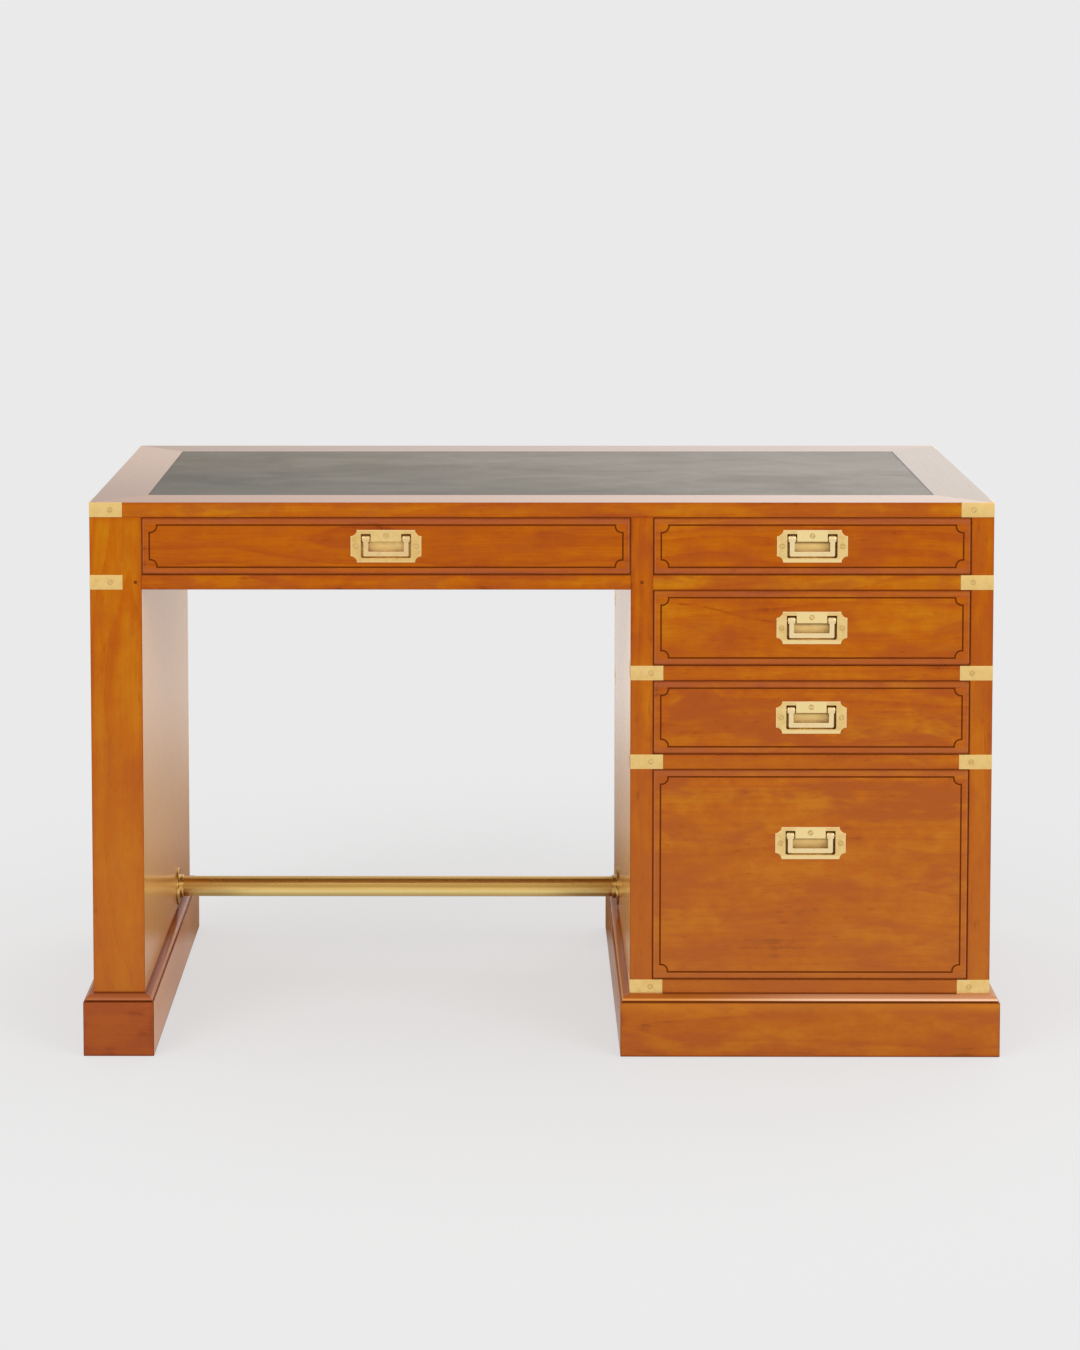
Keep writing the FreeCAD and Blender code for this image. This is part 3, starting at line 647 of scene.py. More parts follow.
def lay_vein(board):
    """Dark vein: a band about a wavy line between two points, broken up by the grain."""
    wires, grain = board.wires, board.grain
    (first, first_height), (last, last_height) = board.looks["vein"]
    slope = (last_height - first_height) / (last - first)
    middle = wires.scaled(board.x, slope, first_height - first * slope)
    middle = wires.scaled(wires.math("SINE", wires.times(board.x, 62.0)), 1.3 * mm, middle)
    off = wires.swing(wires.apart(board.z, middle), grain["Fibre"], 2.4 * mm)
    share = wires.times(wires.fade(off, 2.6 * mm, 0.2 * mm, 0.0, 0.44),
                        wires.band(board.x, (first - 8 * mm, first + 12 * mm), (last + 14 * mm, last)),
                        wires.fade(grain["Mottle"], 0.42, 0.54, 0.05, 1.0))
    board.lay(share, vein_brown)


def lay_edge_light_and_shade(board):
    """Painted highlight along the upright edges of a drawer front and painted shade along its top and bottom.
    """
    wires = board.wires
    light = wires.times(wires.band(board.edge, (0.2 * mm, 0.7 * mm), (2.2 * mm, 1.2 * mm)),
                        wires.fade(board.from_end, 2.4 * mm, 3.2 * mm), board.looks["eased"])
    board.lay(light, edge_highlight_pink)
    board.lay(wires.fade(board.from_end, 2.2 * mm, 0.8 * mm, 0.0, 0.36), umber)


def lay_moulding_light_and_shade(board):
    """Painted light and shade of a plinth from top to foot: painted shade and a painted highlight on the
    moulding, painted shade in the quirk, a painted highlight at the top of the board below it, painted shade
    at its foot.

    The strength of each changes along X, from the leg's plinth to the right end of the pedestal's.
    """
    wires, x, z = board.wires, board.x, board.z
    washed = board.looks["washed"]
    leg_to_pedestal = (-0.40, 0.0)
    under = board_height + quirk_height
    # Painted highlight along the top of the board, on the pedestal
    gold = wires.times(wires.fade(z, board_height - 18 * mm, board_height - 4 * mm),
                       wires.fade(x, 0.0, 0.2, 0.0, 0.30))
    board.lay(gold, plinth_top_highlight)
    # Painted shade over the moulding, turning to a paler painted light towards the right
    over = wires.times(wires.fade(z, under, under + 0.6 * mm), wires.fade(x, 0.10, 0.40, 0.50, 0.78),
                       0.35 if washed else 1.0)
    shade = wires.mix(wires.fade(x, *leg_to_pedestal), leg_shade, moulding_shade)
    board.lay(over, wires.mix(wires.fade(x, 0.18, 0.42), shade, moulding_lit_right))
    # Painted highlight on the lower part of the moulding
    lit = wires.band(z, (under + 0.8 * mm, under + 1.6 * mm), (under + 4.5 * mm, under + 2.0 * mm))
    lit = wires.times(lit, wires.fade(x, -0.30, 0.30, 0.55, 0.84))
    shine = wires.mix(wires.fade(x, 0.16, 0.42), moulding_highlight_gold, moulding_shine)
    board.lay(lit, wires.mix(wires.fade(x, *leg_to_pedestal), leg_shine, shine))
    # Painted shade in the quirk
    groove = wires.band(z, (board_height - 1.4 * mm, board_height - 0.6 * mm),
                        (under + 1.3 * mm, under + 0.6 * mm, 0.0, 0.45 if washed else 0.70))
    board.lay(groove, umber)
    # Painted shade at the foot, by the floor
    board.lay(wires.fade(z, 3.0 * mm, 1.0 * mm, 0.0, 0.45), umber)


def lacquered_wood(name, low, high, along, seed, **looks):
    """Cherry under clear lacquer: amber and russet clouds, fine rings, dark filled pores."""
    board = Board(name, low, high, along, seed, looks)
    wires, grain, looks = board.wires, board.grain, board.looks
    board.colour = wires.ramp(wood_tone(board), [(0.0, umber), (0.16, russet), (0.50, honey), (0.86, amber)])
    board.lay(wires.times(grain["Blush"], 0.65 * looks["figure"]), rose)
    if looks["eased"]:
        lay_worn_band(board)
    # Turns to a paler colour from the top down towards the floor
    board.lay(wires.fade(board.z, 0.72, 0.05, 0.0, looks["dulled"]), looks["bloomed"])
    # Painted reflection at a flat angle on the board's given side
    if looks["washed"]:
        lay_painted_sheen(board)
    lay_dark_marks(board)
    if looks["vein"]:
        lay_vein(board)
    if looks["eased"]:
        lay_edge_light_and_shade(board)
    if looks["painted_moulding"]:
        lay_moulding_light_and_shade(board)
    roughness = wires.fade(grain["Fibre"], 0.3, 0.75, 0.17, 0.12)
    if looks["washed"]:
        roughness = wires.plus(roughness, wires.fade(board.z, 0.42, 0.12, 0.0, 0.02))
    surface = wires.scaled(grain["Fibre"], 0.5, wires.times(grain["Cloud"], 2.0))
    return board.close(roughness, (looks["relief"], 0.6 * mm, surface),
                       {"IOR": looks["ior"], "Specular Tint": warm_reflection})


def pale_wood(name, centre, along, seed):
    """Unfinished light wood of the insides, lightly waxed."""
    finish = Finish(name)
    wires = finish.wires
    grain = finish.grain_along(along, centre, seed, (0, 0.07, 0.05), 9 * mm)
    tone = wires.scaled(grain["Rings"], -0.24, wires.plus(grain["Cloud"], 0.07))
    tone = wires.swing(tone, grain["Fibre"], 0.5)
    finish.colour = wires.ramp(tone, [(0.05, (0.36, 0.215, 0.105)), (0.5, (0.56, 0.385, 0.215)),
                                      (0.9, (0.68, 0.51, 0.32))])
    return finish.close(wires.fade(grain["Fibre"], 0.3, 0.7, 0.62, 0.5), (0.35, 0.4 * mm, grain["Fibre"]))


def stained_wood(name, deep, light):
    """Stained wood, or the dark colour of a piece that stands for painted shade, with a trace of grain."""
    finish = Finish(name)
    fibre = finish.wires.noise(finish.point, 900.0, 2.0)
    finish.colour = finish.wires.ramp(fibre, [(0.3, deep), (0.75, light)])
    return finish.close(finish.wires.fade(fibre, 0.3, 0.7, 0.3, 0.45),
                        constants={"IOR": 1.15, "Specular Tint": warm_reflection})


brown_patina_and_shade = (0.380, 0.200, 0.045)
recess_shade_brown = (0.250, 0.125, 0.026)
floor_brass = (1.000, 0.740, 0.310)
brass_highlight = (1.000, 0.800, 0.385)
rim_highlight_brass = (1.000, 0.720, 0.360)
bar_highlight_brass = (1.000, 0.800, 0.320)


def lay_recess(finish, centre, lit, gap):
    """Patina, painted shade and painted highlight of a handle, about the middle of its recess; gives the
    share of what lies behind its face.

    Behind the face, where no cloth reaches, the brass has gone brown, and a painted shade darkens it
    under the tab and along the walls, as much as gap says. Lit is the share of a painted highlight on
    the tab and the lower lip.
    """
    wires = finish.wires
    across, back, up = wires.split(wires.vector("SUBTRACT", finish.point, centre))
    aside = wires.math("ABSOLUTE", across)
    top = recess_height / 2
    tab_foot = top - tab_height
    behind = wires.fade(back, 0.7 * mm, 3.5 * mm)
    brown = wires.times(behind, wires.fade(up, 2.6 * mm - top, 1.8 * mm - top, 0.72, 0.25))
    finish.lay(wires.times(brown, min(1.0, gap + 0.25)), brown_patina_and_shade)
    finish.lay(wires.fade(back, 10.5 * mm, 11.8 * mm), floor_brass)
    # Painted highlight on the tab and the lower lip
    tab = wires.times(wires.fade(aside, 21.5 * mm, 19.5 * mm), wires.fade(up, tab_foot, tab_foot + 1 * mm))
    lip = wires.fade(up, -top - 0.6 * mm, -top - 2.2 * mm, 0.0, lit)
    finish.lay(wires.times(wires.most(tab, lip), wires.fade(back, 0.8 * mm, 0.3 * mm, 0.0, lit)), brass_highlight)
    # Painted shade under the tab and along the walls
    under = wires.times(wires.fade(up, tab_foot - 6.0 * mm, tab_foot - 2.4 * mm),
                        wires.fade(back, 4.0 * mm, 9.0 * mm))
    beside = wires.times(wires.fade(wires.minus(recess_half_width, aside), 6.0 * mm, 3.0 * mm), behind)
    finish.lay(wires.times(wires.most(under, beside), gap), recess_shade_brown)
    return behind


def lay_bar_light_and_shade(finish, middle, radius):
    """Painted light and shade of a level bar: a painted highlight below its middle, painted shade along its
    top, its foot and near its right end.
    """
    wires = finish.wires
    above = wires.math("DIVIDE", wires.minus(finish.z, middle), radius)
    finish.lay(wires.fade(above, 0.12, -0.28, 0.0, 0.9), bar_highlight_brass)
    rim = wires.most(wires.band(above, (-0.02, 0.25, 0.0, 0.66), (0.60, 0.38, 0.35, 1.0)),
                     wires.fade(above, 0.56, 0.82, 0.0, 0.58), wires.fade(above, -0.28, -0.62, 0.0, 0.54))
    end = wires.most(wires.fade(above, -0.24, 0.02, 0.0, 0.36), wires.fade(above, -0.32, -0.52, 0.0, 0.50))
    finish.lay(wires.plus(rim, wires.times(end, wires.fade(finish.x, -0.04, 0.15))), brown_patina_and_shade)


def satin_brass(name, bright, deep, smooth, rough, drawn=1.0, recess=None, casting=None, bar=None):
    """Lacquered brass with a satin polish: roughness from smooth to rough, tarnish in cloudy patches.

    Drawn is how many times longer the patches are along X. Recess has the middle of a handle's
    recess and its shares lit and gap, of painted highlight and of patina and painted shade, casting
    the box whose rims get a painted highlight, and bar the height and the radius of a level bar,
    which gets painted light and shade.
    """
    finish = Finish(name)
    wires = finish.wires
    polish = wires.effect("hand_polish", {"Vector": wires.stretched(finish.point, (1 / drawn, 1.0, 1.0))})
    finish.colour = wires.ramp(polish["Tarnish"], [(0.25, deep), (0.62, bright)])
    finish.lay(wires.times(polish["Pits"], 0.5), [0.45 * part for part in deep])
    roughness = wires.fade(polish["Tarnish"], 0.3, 0.7, rough, smooth)
    roughness = wires.scaled(polish["Hairlines"], 0.08, roughness)
    if recess:
        roughness = wires.scaled(lay_recess(finish, *recess), 0.25, roughness)
    if casting:
        # Painted highlight along the rims of the casting
        finish.lay(wires.fade(finish.edge_distance(*casting), 2.4 * mm, 0.9 * mm, 0.0, 0.55), rim_highlight_brass)
    if bar:
        lay_bar_light_and_shade(finish, *bar)
    height = wires.scaled(polish["Hairlines"], -0.6, wires.times(polish["Pits"], -1.0))
    return finish.close(roughness, (0.12, 0.1 * mm, height), {"Metallic": 1.0})


def green_leather(low, high):
    """Antiqued dark green hide: pebbled grain, cloudy patina, a browner edge, a painted reflection that
    lightens it towards the right and the rear, and painted shade along its rear and right edges.
    """
    finish = Finish("antiqued_leather")
    wires, point, x, y = finish.wires, finish.point, finish.x, finish.y
    cloud = wires.noise(wires.stretched(point, (1.0, 1.6, 1.0)), 7.0, 5.0, 0.62, 0.6)
    tone = wires.scaled(wires.noise(point, (9.0, 150.0, 1.0), 4.0, 0.65), 0.7, -0.40)
    tone = wires.scaled(wires.noise(point, 30.0, 4.0, 0.6), 0.3, tone)
    tone = wires.scaled(cloud, 0.8, tone)
    # Painted reflection: lighter towards the right and towards the rear
    tone = wires.plus(tone, wires.fade(x, low[0], high[0], -0.34, 0.18),
                      wires.fade(y, low[1], high[1], -0.06, 0.34))
    finish.colour = wires.ramp(tone, [(0.1, (0.042, 0.028, 0.006)), (0.5, (0.090, 0.062, 0.018)),
                                      (0.9, (0.145, 0.108, 0.062))])
    edge_brown = (0.075, 0.034, 0.010)
    finish.lay(wires.fade(finish.edge_distance(low, high), 5 * mm, 0.3 * mm, 0.0, 0.60), edge_brown)
    # Painted shade along the rear and right edges, where the leather meets the border
    rear_right_shade = wires.most(wires.fade(y, high[1] - 7 * mm, high[1] - 4 * mm),
                        wires.fade(x, high[0] - 3 * mm, high[0] - 1.5 * mm))
    edge_shade_brown = (0.012, 0.002, 0.001)
    finish.lay(wires.times(rear_right_shade, 0.9), edge_shade_brown)
    # Seen straight on the colour turns greener and darker; the paler, browner colour of the painted
    # reflection stays at a flat angle
    greener_from_above = (0.66, 0.95, 0.85)
    finish.lay(wires.fade(finish.facing(), 0.80, 0.50), greener_from_above, "MULTIPLY")
    pebble = wires.add("TexVoronoi", "Distance", {"Vector": point, "Scale": 620.0}, feature="F1")
    crease = wires.add("TexVoronoi", "Distance", {"Vector": point, "Scale": 240.0},
                       feature="DISTANCE_TO_EDGE")
    height = wires.scaled(pebble, -0.6, wires.fade(crease, 0.0, 0.12, 0.0, 0.5))
    return finish.close(wires.scaled(cloud, -0.16, 0.42), (0.4, 0.3 * mm, height), {"IOR": 1.29})


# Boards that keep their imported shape

lengthwise = {
    "x": ["top_border_front", "top_border_rear", "kneehole_front_rail", "kneehole_rear_apron",
          "rail_under_top_drawer", "rail_under_second_drawer", "rail_under_third_drawer",
          "pedestal_bottom_rail"] + [stem + "_drawer_front" for stem in drawers],
    "y": ["top_border_left", "top_border_right"],
    "z": ["left_leg_front_post", "left_leg_rear_post", "left_leg_outer_panel", "left_leg_inner_panel",
          "pedestal_inner_stile", "pedestal_outer_stile", "pedestal_rear_stiles", "pedestal_inner_side",
          "pedestal_outer_side", "pedestal_back_panel"],
}
inside_boards = {
    "x": ["top_core_panel", "pedestal_bottom_panel"],
    "y": ["drawer_runners", "drawer_stops"] + [stem + "_drawer_box" for stem in drawers],
    "z": ["left_leg_blocking"],
}
top_side = (0, 0, 1)
left_side = (-1, 0, 0)
right_side = (1, 0, 0)
# Each board's own looks, among them the side and the colour of its painted reflection at a flat angle
board_looks = {
    "top_border_front": {"side": top_side, "washed": top_sheen, "ior": 1.38, "depth": -0.05, "joint": 0.35},
    "top_border_rear": {"side": top_side, "washed": rear_sheen, "ior": 1.175},
    "top_border_left": {"side": top_side, "washed": left_sheen, "painted_sheen_rear": left_rear_sheen, "ior": 1.42},
    "top_border_right": {"side": top_side, "washed": right_sheen, "ior": 1.30},
    "left_leg_inner_panel": {"side": right_side, "washed": side_sheen, "ior": 1.19, "relief": 0.03},
    "left_leg_front_post": {"side": right_side, "washed": side_sheen, "ior": 1.19, "depth": -0.13, "joint": 0.35,
                            "figure": 0.7},
    "left_leg_rear_post": {"side": right_side, "washed": side_sheen, "ior": 1.19},
    "pedestal_inner_side": {"side": left_side, "washed": warm_sheen, "ior": 1.55, "relief": 0.03},
    "pedestal_inner_stile": {"side": left_side, "washed": warm_sheen, "depth": 0.07},
    "pedestal_outer_stile": {"depth": 0.02, "figure": 0.8},
    "rail_under_top_drawer": {"depth": -0.30},
    "rail_under_third_drawer": {"depth": 0.05},
    "pedestal_bottom_rail": {"depth": 0.04},
    "kneehole_front_rail": {"depth": 0.05},
    "kneehole_drawer_front": {"depth": 0.16, "figure": 0.6},
    "top_drawer_front": {"figure": 0.8},
    "second_drawer_front": {"depth": 0.06, "vein": ((0.172, 0.6265), (0.312, 0.597))},
    "third_drawer_front": {"depth": 0.02, "figure": 1.5, "drift": 0.07},
    "file_drawer_front": {"depth": -0.07, "figure": 1.7},
}


def dress(node, material):
    """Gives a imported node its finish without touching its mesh."""
    slots = nodes[node].data.materials
    slots.clear()
    slots.append(material)


def finish_boards():
    """Finishes the boards, each with its own seed, so that no two have the same grain."""
    seed = 1
    for along, names in lengthwise.items():
        for node in names:
            looks = board_looks.get(node, {})
            if node.endswith("_drawer_front"):
                looks = looks | {"eased": 0.11, "joint": 0.0}
            dress(node, lacquered_wood(node + "_finish", *box(node), along, seed, **looks))
            seed += 1
    for along, names in inside_boards.items():
        for node in names:
            dress(node, pale_wood(node + "_finish", sum(box(node)) / 2, along, seed))
            seed += 1


# Drawers

def scooped_outline(half_width, half_height, shoulder, radius):
    """Rectangle with each corner scooped out by a quarter circle, with small square shoulders."""
    points = []
    for number in range(4):
        turn = number * math.pi / 2
        wide, high = (half_height, half_width) if number % 2 else (half_width, half_height)
        own = np.concatenate([[[wide, high - radius - shoulder]],
                              arc((wide - shoulder, high - shoulder), radius, 3, 2),
                              [[wide - radius - shoulder, high]]])
        spin = np.array([[math.cos(turn), math.sin(turn)], [-math.sin(turn), math.cos(turn)]])
        points.append(own @ spin)
    return np.concatenate(points)


def front_ring(stem, word, outline, section, material):
    """Section carried round an outline about the middle of a drawer front, with depths from its face."""
    low, high = box(stem + "_drawer_front")
    middle = (low + high) / 2
    rings = set_at(stack(outline, section), (middle[0], low[1], middle[2]), *to_front)
    piece(stem + word, [solid(rings, closed=True)], stem + "_drawer", material)


def drawer_string(stem, material):
    """Dark string in its groove: the scooped outline carried round with a flat section."""
    low, high = box(stem + "_drawer_front")
    half = (high - low) / 2
    outline = scooped_outline(half[0] - string_inset, half[2] - string_inset, string_shoulder, string_notch)
    near, far = string_gap, string_width - string_gap
    section = [(near, string_depth), (near, string_gap), (near + string_gap, string_gap / 2),
               (far - string_gap, string_gap / 2), (far, string_gap), (far, string_depth)]
    front_ring(stem, "_string", outline, section, material)


def gap_shade_strip(stem, material):
    """Thin dark strip round a drawer front, a little behind its face, that stands for painted shade in the
    gap: a rectangle's ring.
    """
    low, high = box(stem + "_drawer_front")
    wide, tall = (high - low)[[0, 2]] / 2
    outline = np.array([[wide, -tall], [wide, tall], [-wide, tall], [-wide, -tall]])
    section = [(0.0, shadow_strip_set), (-shadow_strip_width, shadow_strip_set), (-shadow_strip_width, shadow_strip_depth),
               (0.0, shadow_strip_depth)]
    front_ring(stem, "_gap_shade_strip", outline, section, material)


# Handles

def mirrored(half_outline):
    """Closed outline from its right half, which runs from the top to the bottom of the middle line."""
    left = half_outline[1:-1][::-1] * np.array([-1, 1])
    return np.concatenate([half_outline, left])


def box_foot(wide, high):
    """Lower right half of a box with rounded lower corners, from its upper corner to the middle line."""
    low = recess_corner - high
    return np.concatenate([
        line((wide, high), (wide, low), side_steps),
        arc((wide - recess_corner, low), recess_corner, 4, 3)[:-1],
        line((wide - recess_corner, -high), (0, -high), run_steps), [[0, -high]]])


def plate_outlines(half_width, top, bottom):
    """Face outline, recess outline and pan outline of a casting, with points that go together."""
    recess_top = recess_height / 2
    tab = recess_half_width - slot_width
    tab_foot = recess_top - tab_height
    low_corner = arc((half_width, bottom), scoop_radius, 1, 2)
    face = np.concatenate([
        line((0, top), (tab / 2, top), run_steps), line((tab / 2, top), (tab, top), slot_steps),
        line((tab, top), (half_width - scoop_radius, top), slot_steps),
        arc((half_width, top), scoop_radius, 2, 3)[:-1],
        line((half_width, top - scoop_radius), (half_width, bottom + scoop_radius), run_steps),
        low_corner[:-1], line(low_corner[-1], (0, bottom), run_steps), [[0, bottom]]])
    recess = np.concatenate([
        line((0, tab_foot), (tab, tab_foot), run_steps), line((tab, tab_foot), (tab, recess_top), slot_steps),
        line((tab, recess_top), (recess_half_width, recess_top), slot_steps),
        box_foot(recess_half_width, recess_top)])
    wide, high = recess_half_width + pan_wall, recess_top + pan_wall
    pan = np.concatenate([line((0, high), (wide, high), top_steps), box_foot(wide, high)])
    return mirrored(face), mirrored(recess), mirrored(pan)


def handle_place(stem):
    """Middle of the recess on the face of the casting, and the casting's box about it."""
    low, high = box(stem + "_handle_plate")
    centre = np.array([(low[0] + high[0]) / 2, low[1], low[2] + plate_bottom_margin + recess_height / 2])
    return centre, low - centre, high - centre


def handle_casting(stem, material):
    """Casting: outside of the pan, outer rim and face, then the rounded rim and floor of the recess."""
    centre, low, high = handle_place(stem)
    face, recess, pan = plate_outlines(high[0], high[2], low[2])
    face_steps = np.concatenate([
        [[0, plate_depth]], arc((plate_round, plate_round), plate_round, 2, 3, round_steps),
        [[plate_round + held_edge, 0]]])
    recess_steps = np.concatenate([
        [[-rim_round - held_edge, 0]], arc((-rim_round, rim_round), rim_round, -1, 0, round_steps),
        arc((rim_round, recess_depth - rim_round), rim_round, 2, 1, round_steps),
        [[rim_round + held_edge, recess_depth]]])
    rings = np.concatenate([stack(pan, [(0, recess_depth + pan_wall), (0, plate_depth)]),
                            stack(face, face_steps), stack(recess, recess_steps)])
    piece(stem + "_casting", [solid(set_at(rings, centre, *to_front))], stem + "_drawer",
          material, stem + "_handle_plate")


def bail_axis(stem):
    """Hinge line of a bail, a knuckle's radius below its packed top, and the bail's foot below it."""
    low, high = box(stem + "_bail")
    level = high[2] - knuckle_radius
    axis = np.array([(low[0] + high[0]) / 2, handle_place(stem)[0][1] + knuckle_flat, level])
    return axis, low[2] - level


def bail_pull(stem, material):
    """U-shaped pull with a flat faced barrel on each arm."""
    axis, foot = bail_axis(stem)
    knuckle_x = recess_half_width - slot_width / 2
    half = knuckle_x + arm_width / 2
    inner = half - arm_width
    bar_top = foot + bar_height
    bend = foot + recess_corner
    right = np.concatenate([line((inner, 0), (half, 0), slot_steps), line((half, 0), (half, bend), arm_steps),
                            arc((half - recess_corner, bend), recess_corner, 4, 3)])
    left = right[::-1] * np.array([-1, 1])
    inside = np.concatenate([line((-inner, 0), (-inner, bar_top), arm_steps)[1:],
                             line((-inner, bar_top), (inner, bar_top), bar_steps),
                             line((inner, bar_top), (inner, 0), arm_steps)])
    outline = np.concatenate([right, left, inside])
    origin = (axis[0], handle_place(stem)[0][1] + bail_sink, axis[2])
    solids = [solid(set_at(plate(outline, bail_depth, bail_round), origin, *to_front))]
    reach = math.acos(knuckle_flat / knuckle_radius) / (math.pi / 2)
    section = arc((0, 0), knuckle_radius, 2 + reach, 6 - reach, barrel_steps)
    barrel = plate(section, 2 * knuckle_half_width, knuckle_round)
    for side in (-1, 1):
        start = axis + np.array([side * knuckle_x - knuckle_half_width, 0, 0])
        solids.append(solid(set_at(barrel, start, *to_side(-1))))
    piece(stem + "_pull", solids, stem + "_bail", material, stem + "_bail")


# Screws

def screw(point, outward, turn):
    """Countersunk head: two domed halves either side of the slot, on the cone of the head."""
    outward = np.asarray(outward, float)
    aside = np.cross(outward, (0.0, 0.0, 1.0))
    upward = np.cross(aside, outward)
    across = aside * math.cos(turn) + upward * math.sin(turn)
    up = upward * math.cos(turn) - aside * math.sin(turn)
    near = math.asin(slot_half / head_radius) / (math.pi / 2)
    top = np.asarray(point) + outward * head_dome
    solids = []
    for start in (0, 2):
        outline = arc((0, 0), head_radius, start + near, start + 2 - near, head_steps)
        half = plate(outline, slot_depth + head_dome, head_round)
        solids.append(solid(set_at(half, top, across, up, outward)))
    cone = turned([(head_radius, slot_depth), (head_radius * cone_waist_share, head_depth),
                   (head_radius * cone_end_share, head_depth)], screw_steps)
    solids.append(solid(set_at(cone, point, across, up, outward)))
    return solids


def shade_ring(point, outward):
    """Painted shade in the gap round a screw head: a thin dark flat ring that stands a hair proud."""
    aside = np.cross(outward, (0.0, 0.0, 1.0))
    wide = head_radius + seat_width
    ring = turned([(head_radius, seat_depth), (head_radius, -seat_proud), (wide, -seat_proud),
                   (wide, seat_depth)], screw_steps)
    return solid(set_at(ring, point, aside, (0, 0, 1), outward), closed=True)


def handle_fixings(stem, material, ring_shade_finish):
    """Three screws of a casting and the two hinge pins."""
    centre, low, high = handle_place(stem)
    side = (recess_half_width + high[0]) / 2
    middle = centre[2] + (high[2] + low[2]) / 2
    tab_middle = centre[2] + (high[2] + recess_height / 2 - tab_height) / 2
    places = [(centre[0], centre[1], tab_middle), (centre[0] - side, centre[1], middle),
              (centre[0] + side, centre[1], middle)]
    forward = to_front[2]
    solids = []
    for number, place in enumerate(places):
        solids += screw(place, forward, slot_turn * (number + len(stem)))
    # Dark rings of painted shade round the screw heads
    shade_rings = [shade_ring(place, forward) for place in places]
    piece(stem + "_screw_shade_rings", shade_rings, stem + "_drawer", ring_shade_finish)
    axis = bail_axis(stem)[0]
    pin_length = slot_width + 2 * pin_seat
    pin = turned([(pin_radius * pin_end_share, 0), (pin_radius, pin_chamfer), (pin_radius, pin_length),
                  (pin_radius * pin_end_share, pin_length + pin_chamfer)], pin_steps)
    for way in (-1, 1):
        start = axis + np.array([way * (recess_half_width + pin_seat), 0, 0])
        solids.append(solid(set_at(pin, start, *to_side(way))))
    piece(stem + "_fixings", solids, stem + "_drawer", material, stem + "_handle_fixings")


# Corner straps

def strap_places():
    """Corner, ways into the wood and levels of each strap, on the leg and on the pedestal."""
    post_low = box("left_leg_front_post")[0]
    inner_low = box("pedestal_inner_stile")[0]
    outer_high = box("pedestal_outer_stile")[1]
    rear = box("left_leg_rear_post")[1][1]
    levels = [box(name) for name in ("top_border_front", "rail_under_top_drawer", "rail_under_second_drawer",
                                     "rail_under_third_drawer", "pedestal_bottom_rail")]
    levels = [(low[2], high[2]) for low, high in levels]
    levels[-1] = (plinth_height, levels[-1][1])
    leg, pedestal = [], []
    for y, way in ((post_low[1], 1), (rear, -1)):
        leg += [(post_low[0], y, 1, way, level) for level in levels[:2]]
        pedestal += [(outer_high[0], y, -1, way, level) for level in levels]
        pedestal += [(inner_low[0], y, 1, way, level) for level in levels[2:]]
    return leg, pedestal


def strap(corner):
    """Strap bent round an upright corner: its plan is an L with a rounded bend."""
    x, y, way_x, way_y, (low, high) = corner
    out = strap_proud
    inner = strap_proud - strap_thickness
    end = strap_length
    bend = arc((strap_bend - out, strap_bend - out), strap_bend, 2, 3, bend_steps)
    hollow = strap_thickness - strap_bend
    plan = np.concatenate([[[-out, end]], bend, [[end, -out], [end, -inner], [-inner + hollow, -inner],
                                                 [-inner, -inner + hollow], [-inner, end]]])
    rings = plate(plan, high - low, strap_round)
    return solid(set_at(rings, (x, y, high), (way_x, 0, 0), (0, way_y, 0), (0, 0, 1)))


def strap_screws(corner):
    """Place and outward direction of the two screws of a strap."""
    x, y, way_x, way_y, (low, high) = corner
    reach = strap_length * strap_screw_share
    z = (low + high) / 2
    return [((x + way_x * reach, y - way_y * strap_proud, z), (0, -way_y, 0)),
            ((x - way_x * strap_proud, y + way_y * reach, z), (-way_x, 0, 0))]


def corner_straps(material, screw_material, ring_shade_finish):
    """Straps of the leg and of the pedestal, with the screws of both and the dark rings of painted shade
    round them.
    """
    leg, pedestal = strap_places()
    piece("leg_straps", [strap(c) for c in leg], "desk", material, "left_leg_corner_straps")
    piece("pedestal_straps", [strap(c) for c in pedestal], "desk", material,
          "pedestal_corner_straps")
    heads, shade_rings = [], []
    for number, corner in enumerate(leg + pedestal):
        for point, outward in strap_screws(corner):
            heads += screw(point, outward, slot_turn * number)
            shade_rings.append(shade_ring(point, outward))
    piece("strap_screw_heads", heads, "desk", screw_material, "strap_screws")
    piece("strap_screw_shade_rings", shade_rings, "desk", ring_shade_finish)


# Plinths

def plinth_section():
    """Section of a plinth board as inset and height: foot, face, quirk, ovolo and inner side."""
    face = np.concatenate([[[foot_chamfer, 0.0], [0.0, foot_chamfer]],
                           line((0, foot_hold), (0, board_height - plinth_arris), 2)])
    arris = arc((plinth_arris, board_height - plinth_arris), plinth_arris, 2, 1, arris_steps)
    quirk = [[quirk_depth, board_height], [quirk_depth, board_height + quirk_height]]
    start = np.array([moulding_quirk - moulding_overhang, board_height + quirk_height])
    chord = np.array([plinth_projection - moulding_fillet, plinth_height]) - start
    share = np.linspace(0, 1, ovolo_steps + 1)[:, None]
    bulge = moulding_bulge / chord[0] * np.array([-chord[1], chord[0]])
    ovolo = start + chord * share + bulge * 4 * share * (1 - share)
    inside = plinth_projection + plinth_ledge
    back = [[plinth_projection, plinth_height], [plinth_projection, board_height], [inside, board_height],
            [inside, 0.0]]
    return np.concatenate([face, arris, quirk, ovolo, back])


